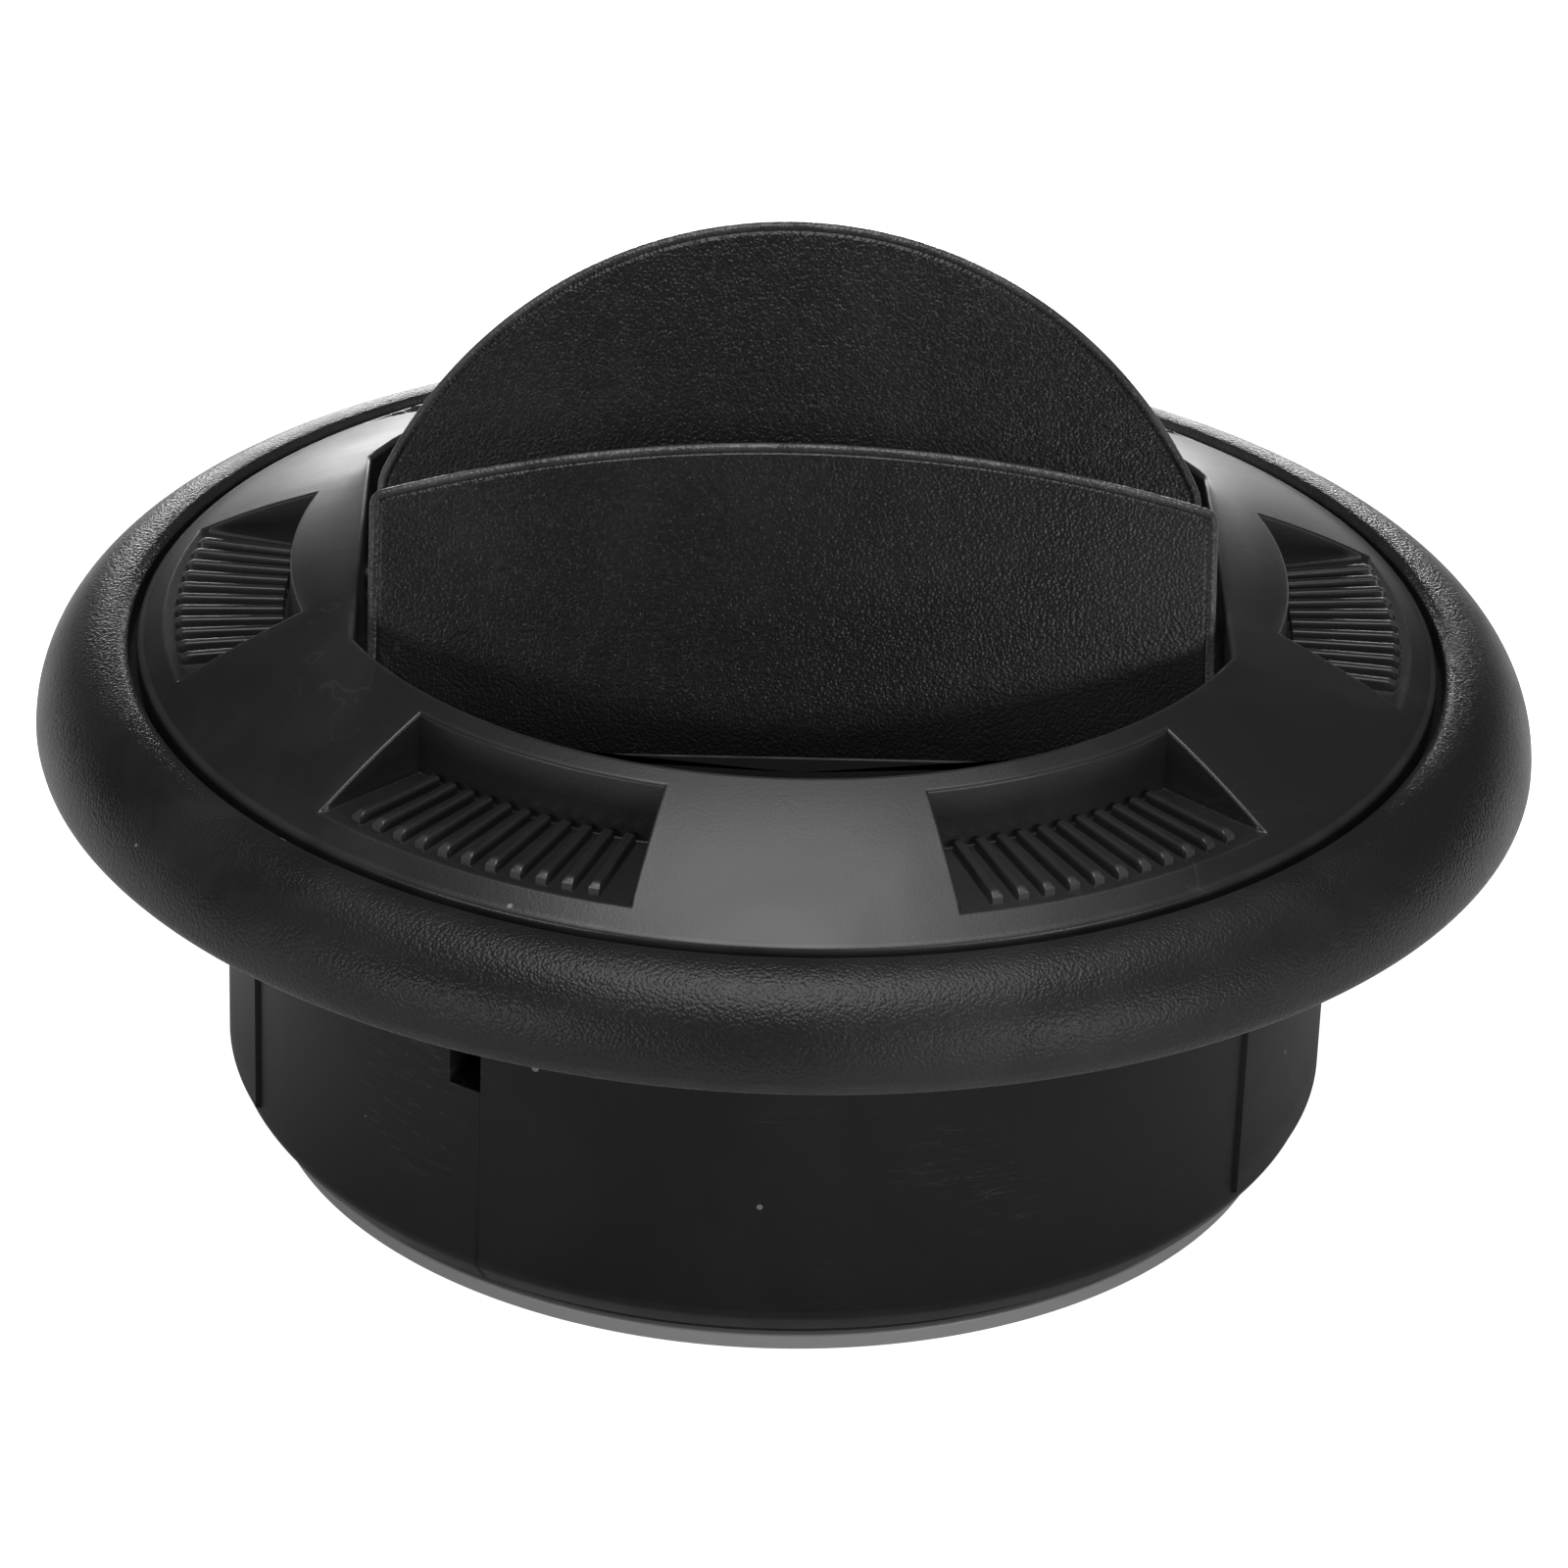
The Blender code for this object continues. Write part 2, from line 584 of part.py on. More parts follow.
def make_link_pin(label, hinge):
    """The headed pin through a crank lug and the link bar."""
    y, z = crank_offset()
    head_x = LUG_X[0] - GAP - LINK_PIN_HEAD
    tail_x = LINK_X[1] + LINK_PIN_TAIL
    pin = stepped_pin(head_x, tail_x, LINK_PIN_HEAD_RADIUS, LINK_PIN_RADIUS, LINK_PIN_HEAD)
    bmesh.ops.transform(pin, matrix=Matrix.Translation((0.0, y, z)), verts=pin.verts)
    pin_object = add_object(f"{label}_link_pin", pin, (0.03, 0.03, 0.03), 0.4, parent=hinge)
    smooth_round_faces(pin_object)


def add_joint(name, location, parent=None):
    """Return an empty that stands on a joint's axis."""
    joint = bpy.data.objects.new(name, None)
    joint.location = location
    joint.parent = parent
    bpy.context.collection.objects.link(joint)
    return joint


def main():
    clear_scene()
    make_housing()

    rotor = add_joint("rotor_axis", (0.0, 0.0, 0.0))
    make_grip_ring(rotor)
    make_sleeve(rotor)
    make_retaining_ring(rotor)
    make_friction_ring(rotor)

    front_hinge = add_joint("front_blade_axis", (0.0, FRONT_PIVOT_Y, PIVOT_Z), rotor)
    rear_hinge = add_joint("rear_blade_axis", (0.0, REAR_PIVOT_Y, PIVOT_Z), rotor)
    make_blade("front_blade", front_hinge, FRONT_PIVOT_Y, True)
    make_blade("rear_blade", rear_hinge, REAR_PIVOT_Y, False)
    make_pivot_pins("front", front_hinge)
    make_pivot_pins("rear", rear_hinge)

    crank_y, crank_z = crank_offset()
    link_joint = add_joint("link_axis", (0.0, crank_y, crank_z), front_hinge)
    make_link_bar(link_joint)
    make_link_pin("front", front_hinge)
    make_link_pin("rear", rear_hinge)


main()
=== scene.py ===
import math

import bpy
import numpy as np
from mathutils import Matrix, Vector


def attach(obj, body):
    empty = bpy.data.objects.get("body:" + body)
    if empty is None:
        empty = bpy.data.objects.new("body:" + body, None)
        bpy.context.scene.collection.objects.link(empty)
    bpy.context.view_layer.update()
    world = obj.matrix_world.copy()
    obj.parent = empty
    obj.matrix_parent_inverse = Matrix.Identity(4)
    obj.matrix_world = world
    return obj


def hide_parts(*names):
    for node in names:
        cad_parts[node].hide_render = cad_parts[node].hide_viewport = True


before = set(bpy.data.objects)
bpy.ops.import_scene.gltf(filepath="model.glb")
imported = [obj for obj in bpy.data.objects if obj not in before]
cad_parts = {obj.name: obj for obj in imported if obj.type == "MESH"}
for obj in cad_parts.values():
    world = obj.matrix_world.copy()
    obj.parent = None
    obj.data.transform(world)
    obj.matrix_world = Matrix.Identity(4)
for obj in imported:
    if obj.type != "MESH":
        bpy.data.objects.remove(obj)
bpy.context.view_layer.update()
scene = bpy.context.scene
mm = 0.001
print("frame loaded,", len(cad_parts), "CAD nodes")

# directions round the outlet are counted from the front (-Y) towards +X


def smoothStep(value):
    value = np.clip(value, 0.0, 1.0)
    return value * value * (3.0 - 2.0 * value)


def ringQuads(rows, columns, closeRows):
    # a quad between each point, its neighbour in the row, and the same two in the next row
    row = np.arange(rows if closeRows else rows - 1)[:, None]
    column = np.arange(columns)[None]
    nextRow = (row + 1) % rows
    nextColumn = (column + 1) % columns
    corners = (row * columns + column, row * columns + nextColumn,
               nextRow * columns + nextColumn, nextRow * columns + column)
    return np.stack(corners, -1).reshape(-1, 4)


def closedRing(points, edge=None, drop=None):
    # a grid closed both ways, like a ring; drop marks the cells that are left open
    rows, columns = points.shape[:2]
    quads = ringQuads(rows, columns, True)
    if drop is not None:
        quads = quads[~drop.reshape(-1)]
    edge = np.zeros((rows, columns)) if edge is None else edge
    return {"points": points.reshape(-1, 3), "quads": quads, "tris": np.zeros((0, 3), int),
            "edge": edge.reshape(-1)}


def closedShell(points, edge):
    # a grid whose first and last rows have each shrunk to one point
    rows, columns = points.shape[:2]
    inner = points[1:-1].reshape(-1, 3)
    last = len(inner) + 1
    column = np.arange(columns)
    follow = (column + 1) % columns
    quads = ringQuads(rows - 2, columns, False) + 1
    top = np.stack((np.zeros(columns, int), 1 + follow, 1 + column), -1)
    base = 1 + (rows - 3) * columns
    bottom = np.stack((np.full(columns, last), base + column, base + follow), -1)
    return {"points": np.vstack((points[0, :1], inner, points[-1, :1])), "quads": quads,
            "tris": np.vstack((top, bottom)),
            "edge": np.concatenate((edge[0, :1], edge[1:-1].reshape(-1), edge[-1, :1]))}


def facingOut(surface):
    # the volume of the closed surface tells which way its faces look; a negative one is turned round
    p, q, t = surface["points"], surface["quads"], surface["tris"]
    t = np.vstack((q[:, [0, 1, 2]], q[:, [0, 2, 3]], t))
    volume = np.einsum("ij,ij->i", p[t[:, 0]], np.cross(p[t[:, 1]], p[t[:, 2]])).sum()
    if volume < 0:
        surface["quads"] = q[:, ::-1]
        surface["tris"] = surface["tris"][:, ::-1]
    return surface


def makePiece(name, surfaces, material, body, nodes=(), sharp=38.0):
    # surfaces in millimetres become one mesh in metres
    surfaces = [facingOut(s) for s in surfaces]
    starts = np.cumsum([0] + [len(s["points"]) for s in surfaces[:-1]])
    points = np.vstack([s["points"] for s in surfaces]) * mm
    quads = np.vstack([s["quads"] + k for s, k in zip(surfaces, starts)])
    tris = np.vstack([s["tris"] + k for s, k in zip(surfaces, starts)])
    mesh = bpy.data.meshes.new(name)
    mesh.vertices.add(len(points))
    mesh.vertices.foreach_set("co", points.ravel())
    mesh.loops.add(quads.size + tris.size)
    mesh.loops.foreach_set("vertex_index", np.concatenate((quads.ravel(), tris.ravel())))
    mesh.polygons.add(len(quads) + len(tris))
    loopStart = np.concatenate((np.arange(len(quads)) * 4, quads.size + np.arange(len(tris)) * 3))
    mesh.polygons.foreach_set("loop_start", loopStart)
    mesh.update(calc_edges=True)
    mesh.validate()
    mesh.polygons.foreach_set("use_smooth", np.ones(len(mesh.polygons), bool))
    mesh.set_sharp_from_angle(angle=math.radians(sharp))
    # per-point edge values: worn edges that the materials also paint lighter as a highlight
    wornAndHighlit = mesh.attributes.new("edge", "FLOAT", "POINT")
    wornAndHighlit.data.foreach_set("value", np.concatenate([s["edge"] for s in surfaces]).astype(np.float32))
    mesh.materials.append(material)
    piece = bpy.data.objects.new(name, mesh)
    scene.collection.objects.link(piece)
    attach(piece, body)
    if nodes:
        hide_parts(*nodes)
    return piece


def roundedChain(chain, radii, count=5):
    # each corner of the chain becomes a small arc that starts and ends on its two sides
    # the chain's two end points only steer
    chain = np.array(chain, float)
    corner, before, after = chain[1:-1], chain[:-2], chain[2:]
    back = before - corner
    forth = after - corner
    backLength = np.linalg.norm(back, axis=1, keepdims=True)
    forthLength = np.linalg.norm(forth, axis=1, keepdims=True)
    reach = np.minimum(np.array(radii, float)[:, None], 0.45 * np.minimum(backLength, forthLength))
    start = corner + back / backLength * reach
    end = corner + forth / forthLength * reach
    t = np.linspace(0.0, 1.0, count)[None, :, None]
    arc = (1 - t) ** 2 * start[:, None] + 2 * t * (1 - t) * corner[:, None] + t ** 2 * end[:, None]
    return arc.reshape(-1, 2)


def turned(profile, angles, edge=None):
    # every (radius, z) of a closed profile is carried round Z
    radius = profile[:, 0][:, None]
    height = np.repeat(profile[:, 1][:, None], len(angles), 1)
    points = np.stack((radius * np.sin(angles)[None], -radius * np.cos(angles)[None], height), -1)
    wearAndHighlight = None if edge is None else np.repeat(edge[:, None], len(angles), 1)
    return closedRing(points, wearAndHighlight)


def fullTurn(count):
    return np.arange(count) / count * math.tau


def curveOutline(sides, radius, count=70, cornerCount=9):
    # the sides are resampled by length between trimmed ends, and a corner curve joins each pair of ends
    parts = []
    for index, side in enumerate(sides):
        length = np.concatenate(([0.0], np.cumsum(np.linalg.norm(np.diff(side, axis=0), axis=1))))
        at = np.linspace(radius, length[-1] - radius, count)
        part = np.stack((np.interp(at, length, side[:, 0]), np.interp(at, length, side[:, 1])), -1)
        parts.append(part)
    outline = []
    t = np.linspace(0.0, 1.0, cornerCount + 2)[1:-1, None]
    for part, follow, side in zip(parts, parts[1:] + parts[:1], sides):
        outline += [part, (1 - t) ** 2 * part[-1] + 2 * t * (1 - t) * side[-1] + t ** 2 * follow[0]]
    return np.vstack(outline)


def roundedPlate(outline, low, high, edge=0.3, border=0.0, centre=None):
    # rows of the same outline: growing from a middle point, rolling over the edge, down the side and back
    x, y = outline.T
    if np.sum(x * np.roll(y, -1) - y * np.roll(x, -1)) < 0:
        outline = outline[::-1]
    tangent = np.roll(outline, -1, 0) - np.roll(outline, 1, 0)
    tangent /= np.linalg.norm(tangent, axis=1, keepdims=True)
    outward = np.stack((tangent[:, 1], -tangent[:, 0]), -1)
    middle = outline.mean(0) if centre is None else np.array(centre, float)
    turn = np.linspace(0.0, math.pi / 2, 6)
    roll = edge * (1 - np.sin(turn))
    sink = edge * (1 - np.cos(turn))
    face = edge + np.array([0.62, 0.42, 0.36, 0.30, 0.24, 0.12])
    line = border * np.array([0.0, 0.0, 0.6, 1.0, 0.6, 0.0])
    inset = np.concatenate((face, roll, roll[::-1], face[::-1]))
    height = np.concatenate((high - line, high - sink, low + sink[::-1], np.full(6, low)))
    # edge values over the rounded edge, for wear and a painted highlight
    wornAndHighlit = np.concatenate((np.zeros(5), [0.25], [0.5, 0.8, 1.0, 1.0, 0.8, 0.5],
                           [0.5, 0.8, 1.0, 1.0, 0.8, 0.5], [0.25], np.zeros(5)))
    band = outline[None] - outward[None] * inset[:, None, None]
    spread = np.array([0.0, 0.2, 0.45, 0.7, 0.88, 0.96])[:, None, None]
    fill = middle + (band[0] - middle)[None] * spread
    flat = np.concatenate((fill, band, fill[::-1]))
    height = np.concatenate((np.full(6, high), height, np.full(6, low)))
    points = np.concatenate((flat, np.repeat(height[:, None, None], len(outline), 1)), -1)
    wornAndHighlit = np.concatenate((np.zeros(6), wornAndHighlit, np.zeros(6)))
    return closedShell(points, np.repeat(wornAndHighlit[:, None], len(outline), 1))


def alongX(surface):
    # the plate's own (x, y, height) becomes (y, z, x)
    surface["points"] = surface["points"][:, [2, 0, 1]]
    return surface


def mirroredX(surface):
    surface = dict(surface)
    surface["points"] = surface["points"] * np.array([-1.0, 1.0, 1.0])
    return surface


def plug(tree, socket, value):
    if isinstance(value, bpy.types.NodeSocket):
        tree.links.new(value, socket)
    else:
        socket.default_value = value


def addNode(tree, kind, inputs, **settings):
    node = tree.nodes.new(kind)
    for key, value in settings.items():
        setattr(node, key, value)
    for key, value in inputs.items():
        plug(tree, node.inputs[key], value)
    return node


def maths(tree, operation, *values):
    node = tree.nodes.new("ShaderNodeMath")
    node.operation = operation
    for index, value in enumerate(values):
        plug(tree, node.inputs[index], value)
    return node.outputs[0]


def ramp(tree, value, low, high, outLow=0.0, outHigh=1.0):
    node = addNode(tree, "ShaderNodeMapRange", {"Value": value, "From Min": low, "From Max": high,
                                                "To Min": outLow, "To Max": outHigh},
                   interpolation_type="SMOOTHSTEP")
    return node.outputs[0]


def mixColour(tree, factor, first, second):
    node = tree.nodes.new("ShaderNodeMix")
    node.data_type = "RGBA"
    plug(tree, node.inputs[0], factor)
    plug(tree, node.inputs[6], first)
    plug(tree, node.inputs[7], second)
    return node.outputs[2]


def startGroup(name, inputs, outputs):
    tree = bpy.data.node_groups.new(name, "ShaderNodeTree")
    for label, kind, value in inputs:
        socket = tree.interface.new_socket(name=label, in_out="INPUT", socket_type="NodeSocket" + kind)
        if kind == "Float":
            socket.default_value = value
    for label in outputs:
        tree.interface.new_socket(name=label, in_out="OUTPUT", socket_type="NodeSocketFloat")
    return tree, tree.nodes.new("NodeGroupInput").outputs, tree.nodes.new("NodeGroupOutput").inputs


def makeGrainGroup():
    # spark-eroded mould texture: rounded pebbles broken up by finer noise
    tree, ins, outs = startGroup("mouldGrain", [("Vector", "Vector", None), ("Cells", "Float", 2600.0),
                                                ("Coarse", "Float", 0.5)], ["Height", "Glint"])
    warp = addNode(tree, "ShaderNodeTexNoise", {"Vector": ins["Vector"], "Scale": 900.0, "Detail": 2.0})
    bent = addNode(tree, "ShaderNodeVectorMath", {0: warp.outputs["Color"], 1: (0.0002, 0.0002, 0.0002)},
                   operation="MULTIPLY")
    place = addNode(tree, "ShaderNodeVectorMath", {0: ins["Vector"], 1: bent.outputs[0]}, operation="ADD")
    pebble = addNode(tree, "ShaderNodeTexVoronoi", {"Vector": place.outputs[0], "Scale": ins["Cells"],
                                                    "Smoothness": 0.45}, feature="SMOOTH_F1")
    fine = addNode(tree, "ShaderNodeTexNoise", {"Vector": ins["Vector"], "Scale": 5200.0, "Detail": 3.0,
                                                "Roughness": 0.6})
    dome = maths(tree, "SUBTRACT", 1.0, pebble.outputs["Distance"])
    rough = maths(tree, "MULTIPLY", fine.outputs["Fac"], maths(tree, "SUBTRACT", 1.0, ins["Coarse"]))
    height = maths(tree, "MULTIPLY_ADD", dome, ins["Coarse"], rough)
    chance = addNode(tree, "ShaderNodeTexVoronoi", {"Vector": place.outputs[0], "Scale": ins["Cells"]})
    pick = addNode(tree, "ShaderNodeSeparateColor", {"Color": chance.outputs["Color"]})
    tip = ramp(tree, pebble.outputs["Distance"], 0.34, 0.12)
    tree.links.new(height, outs["Height"])
    tree.links.new(maths(tree, "MULTIPLY", ramp(tree, pick.outputs[0], 0.78, 0.95), tip), outs["Glint"])
    return tree


def makeHandlingGroup():
    # soft smudges, and fine hairline scratches that run level round the piece or wander
    tree, ins, outs = startGroup("handling", [("Vector", "Vector", None), ("Stretch", "Float", 14.0)],
                                 ["Smudge", "Scratch", "Haze"])
    broad = addNode(tree, "ShaderNodeTexNoise", {"Vector": ins["Vector"], "Scale": 34.0, "Detail": 4.0,
                                                 "Roughness": 0.62, "Distortion": 0.8})
    cloud = addNode(tree, "ShaderNodeTexNoise", {"Vector": ins["Vector"], "Scale": 11.0, "Detail": 3.0})
    steer = addNode(tree, "ShaderNodeCombineXYZ", {"X": 1.0, "Y": 1.0, "Z": ins["Stretch"]})
    pulled = addNode(tree, "ShaderNodeVectorMath", {0: ins["Vector"], 1: steer.outputs[0]},
                     operation="MULTIPLY")
    hair = addNode(tree, "ShaderNodeTexNoise", {"Vector": pulled.outputs[0], "Scale": 120.0, "Detail": 3.0,
                                                "Roughness": 0.55, "Distortion": 0.25})
    thin = maths(tree, "ABSOLUTE", maths(tree, "SUBTRACT", hair.outputs["Fac"], 0.5))
    patch = addNode(tree, "ShaderNodeTexNoise", {"Vector": ins["Vector"], "Scale": 60.0, "Detail": 2.0})
    patchy = ramp(tree, patch.outputs["Fac"], 0.54, 0.68)
    line = maths(tree, "MULTIPLY", ramp(tree, thin, 0.011, 0.002), patchy)
    tree.links.new(ramp(tree, broad.outputs["Fac"], 0.40, 0.66), outs["Smudge"])
    tree.links.new(line, outs["Scratch"])
    tree.links.new(ramp(tree, cloud.outputs["Fac"], 0.32, 0.70), outs["Haze"])
    return tree


def makeDustGroup():
    # small pale specks, sized and scattered by cells
    tree, ins, outs = startGroup("dustSpecks", [("Vector", "Vector", None), ("Amount", "Float", 0.06)],
                                 ["Speck"])
    cell = addNode(tree, "ShaderNodeTexVoronoi", {"Vector": ins["Vector"], "Scale": 620.0})
    pick = addNode(tree, "ShaderNodeSeparateColor", {"Color": cell.outputs["Color"]})
    chosen = maths(tree, "LESS_THAN", pick.outputs[0], ins["Amount"])
    size = ramp(tree, pick.outputs[1], 0.0, 1.0, 0.05, 0.16)
    dot = maths(tree, "LESS_THAN", cell.outputs["Distance"], size)
    tree.links.new(maths(tree, "MULTIPLY", chosen, dot), outs["Speck"])
    return tree


def makeEdgeWearHighlightGroup():
    # the piece's own edge attribute, broken up so that the wear and the painted highlight along an edge come
    # and go
    tree, ins, outs = startGroup("edgeWearAndHighlight", [("Vector", "Vector", None), ("Amount", "Float", 0.5)], ["Worn"])
    edge = addNode(tree, "ShaderNodeAttribute", {}, attribute_name="edge")
    breakUp = addNode(tree, "ShaderNodeTexNoise", {"Vector": ins["Vector"], "Scale": 260.0, "Detail": 3.0})
    part = ramp(tree, breakUp.outputs["Fac"], 0.34, 0.62, 0.45, 1.0)
    wornAndHighlit = maths(tree, "MULTIPLY", maths(tree, "MULTIPLY", edge.outputs["Fac"], part), ins["Amount"])
    tree.links.new(wornAndHighlit, outs["Worn"])
    return tree


grainGroup = makeGrainGroup()
handlingGroup = makeHandlingGroup()
dustGroup = makeDustGroup()
edgeWearHighlightGroup = makeEdgeWearHighlightGroup()


def useGroup(tree, group, inputs):
    node = tree.nodes.new("ShaderNodeGroup")
    node.node_tree = group
    for key, value in inputs.items():
        plug(tree, node.inputs[key], value)
    return node.outputs


def mouldedPlastic(name, look):
    # one moulded finish: colour, gloss, grain, marks, dust, and worn edges painted lighter as a highlight,
    # from its own dictionary
    material = bpy.data.materials.new(name)
    material.use_nodes = True
    tree = material.node_tree
    shader = tree.nodes["Principled BSDF"]
    where = addNode(tree, "ShaderNodeTexCoord", {}).outputs["Object"]
    grain = useGroup(tree, grainGroup, {"Vector": where, "Cells": look["cells"], "Coarse": look["coarse"]})
    marks = useGroup(tree, handlingGroup, {"Vector": where, "Stretch": look["stretch"]})
    dust = useGroup(tree, dustGroup, {"Vector": where, "Amount": look["dust"]})
    wornAndHighlit = useGroup(tree, edgeWearHighlightGroup, {"Vector": where, "Amount": look["wearAndHighlight"]})["Worn"]
    height = maths(tree, "MULTIPLY_ADD", marks["Scratch"], -look["scratchDepth"], grain["Height"])
    height = maths(tree, "MULTIPLY_ADD", dust["Speck"], 0.6, height)
    bump = addNode(tree, "ShaderNodeBump", {"Height": height, "Strength": look["grainStrength"],
                                            "Distance": look["grainDepth"] * mm})
    base = mixColour(tree, marks["Haze"], (*look["dark"], 1.0), (*look["light"], 1.0))
    smudged = maths(tree, "MULTIPLY", marks["Smudge"], look["smudge"])
    base = mixColour(tree, smudged, base, (*look["bloom"], 1.0))
    scratched = maths(tree, "MULTIPLY", marks["Scratch"], look["scratch"])
    base = mixColour(tree, scratched, base, (0.10, 0.10, 0.10, 1.0))
    # edges painted lighter: partly wear, partly a painted highlight along the rounded edges
    base = mixColour(tree, wornAndHighlit, base, (*look["edgeWearAndHighlightColour"], 1.0))
    base = mixColour(tree, maths(tree, "MULTIPLY", dust["Speck"], 0.5), base, (0.30, 0.30, 0.29, 1.0))
    gloss = maths(tree, "MULTIPLY_ADD", marks["Smudge"], look["smudgeRough"], look["rough"])
    gloss = maths(tree, "MULTIPLY_ADD", grain["Glint"], -look["glint"], gloss)
    gloss = maths(tree, "MULTIPLY_ADD", wornAndHighlit, -0.10, gloss)
    gloss = maths(tree, "MULTIPLY_ADD", marks["Scratch"], 0.18, gloss)
    tree.links.new(base, shader.inputs["Base Color"])
    tree.links.new(maths(tree, "MAXIMUM", gloss, 0.08), shader.inputs["Roughness"])
    tree.links.new(bump.outputs[0], shader.inputs["Normal"])
    shader.inputs["Specular IOR Level"].default_value = look["specular"]
    shader.inputs["IOR"].default_value = 1.5
    return material


# what most finishes share; each one below says where it differs
plainLook = {"glint": 0.05, "stretch": 1.0, "scratchDepth": 0.0, "scratch": 0.0}
rimLook = {**plainLook, "dark": (0.01, 0.01, 0.0105), "light": (0.015, 0.015, 0.0155),
           "bloom": (0.03, 0.03, 0.031), "edgeWearAndHighlightColour": (0.045, 0.045, 0.046), "rough": 0.29,
           "smudgeRough": 0.08, "smudge": 0.5, "cells": 4600.0, "coarse": 0.55, "grainStrength": 1.0,
           "grainDepth": 0.07, "glint": 0.24, "stretch": 14.0, "dust": 0.03, "wearAndHighlight": 0.35, "specular": 0.22}
spigotLook = {**plainLook, "dark": (0.0055, 0.0055, 0.0058), "light": (0.008, 0.008, 0.0083),
              "bloom": (0.016, 0.016, 0.0165), "edgeWearAndHighlightColour": (0.03, 0.03, 0.031), "rough": 0.4,
              "smudgeRough": 0.1, "smudge": 0.5, "cells": 3800.0, "coarse": 0.5, "grainStrength": 0.25,
              "grainDepth": 0.03, "stretch": 14.0, "scratchDepth": 0.3, "scratch": 0.25, "dust": 0.07,
              "wearAndHighlight": 0.6, "specular": 0.12}
# stop lips: a very dark colour as painted shade on their tops, and a bright edge colour as painted highlight
# lines
stopPaintedShadeLook = {**plainLook, "dark": (0.004, 0.004, 0.0042), "light": (0.006, 0.006, 0.0062),
            "bloom": (0.01, 0.01, 0.01), "edgeWearAndHighlightColour": (0.16, 0.16, 0.162), "rough": 0.5,
            "smudgeRough": 0.05, "smudge": 0.3, "cells": 4200.0, "coarse": 0.4, "grainStrength": 0.3,
            "grainDepth": 0.03, "dust": 0.02, "wearAndHighlight": 0.9, "specular": 0.05}
rotorLook = {**plainLook, "dark": (0.011, 0.011, 0.0115), "light": (0.016, 0.016, 0.0165),
             "bloom": (0.03, 0.03, 0.031), "edgeWearAndHighlightColour": (0.06, 0.06, 0.061), "rough": 0.33,
             "smudgeRough": 0.1, "smudge": 0.45, "cells": 4200.0, "coarse": 0.35, "grainStrength": 0.35,
             "grainDepth": 0.03, "dust": 0.02, "wearAndHighlight": 0.45, "specular": 0.4}
# the blades' bright edge colour is mostly a painted highlight along their rounded edges
bladeLook = {**plainLook, "dark": (0.006, 0.006, 0.0063), "light": (0.0095, 0.0095, 0.0098),
             "bloom": (0.018, 0.018, 0.0185), "edgeWearAndHighlightColour": (0.13, 0.13, 0.132), "rough": 0.29,
             "smudgeRough": 0.06, "smudge": 0.35, "cells": 4600.0, "coarse": 0.6, "grainStrength": 1.0,
             "grainDepth": 0.075, "glint": 0.28, "dust": 0.008, "wearAndHighlight": 0.6, "specular": 0.34}
sleeveLook = {**plainLook, "dark": (0.01, 0.01, 0.0105), "light": (0.014, 0.014, 0.0145),
              "bloom": (0.026, 0.026, 0.027), "edgeWearAndHighlightColour": (0.045, 0.045, 0.046), "rough": 0.42,
              "smudgeRough": 0.08, "smudge": 0.4, "cells": 3600.0, "coarse": 0.4, "grainStrength": 0.15,
              "grainDepth": 0.02, "stretch": 14.0, "scratchDepth": 0.5, "scratch": 0.2, "dust": 0.03,
              "wearAndHighlight": 0.4, "specular": 0.3}
retainerLook = {**plainLook, "dark": (0.27, 0.27, 0.272), "light": (0.32, 0.32, 0.322),
                "bloom": (0.35, 0.35, 0.35), "edgeWearAndHighlightColour": (0.34, 0.34, 0.34), "rough": 0.34,
                "smudgeRough": 0.08, "smudge": 0.4, "cells": 3600.0, "coarse": 0.4, "grainStrength": 0.12,
                "grainDepth": 0.02, "glint": 0.04, "stretch": 14.0, "scratchDepth": 0.4, "scratch": 0.2,
                "dust": 0.03, "wearAndHighlight": 0.2, "specular": 0.5}
rubberLook = {**plainLook, "dark": (0.012, 0.012, 0.012), "light": (0.018, 0.018, 0.018),
              "bloom": (0.035, 0.035, 0.034), "edgeWearAndHighlightColour": (0.03, 0.03, 0.03), "rough": 0.68,
              "smudgeRough": 0.1, "smudge": 0.5, "cells": 3000.0, "coarse": 0.3, "grainStrength": 0.25,
              "grainDepth": 0.03, "glint": 0.0, "dust": 0.05, "wearAndHighlight": 0.0, "specular": 0.4}
pinLook = {**plainLook, "dark": (0.018, 0.018, 0.018), "light": (0.026, 0.026, 0.026),
           "bloom": (0.04, 0.04, 0.04), "edgeWearAndHighlightColour": (0.08, 0.08, 0.08), "rough": 0.35, "smudgeRough": 0.1,
           "smudge": 0.4, "cells": 4200.0, "coarse": 0.4, "grainStrength": 0.15, "grainDepth": 0.02,
           "dust": 0.01, "wearAndHighlight": 0.5, "specular": 0.5}

rimPlastic = mouldedPlastic("grainedRimPlastic", rimLook)
spigotPlastic = mouldedPlastic("smoothSpigotPlastic", spigotLook)
stopPaintedShadePlastic = mouldedPlastic("stopLipPaintedShadePlastic", stopPaintedShadeLook)
rotorPlastic = mouldedPlastic("satinRotorPlastic", rotorLook)
bladePlastic = mouldedPlastic("pebbledBladePlastic", bladeLook)
sleevePlastic = mouldedPlastic("smoothSleevePlastic", sleeveLook)
retainerPlastic = mouldedPlastic("retainerPlastic", retainerLook)
frictionRubber = mouldedPlastic("frictionRubber", rubberLook)
pinPlastic = mouldedPlastic("pinPlastic", pinLook)
print("materials made")


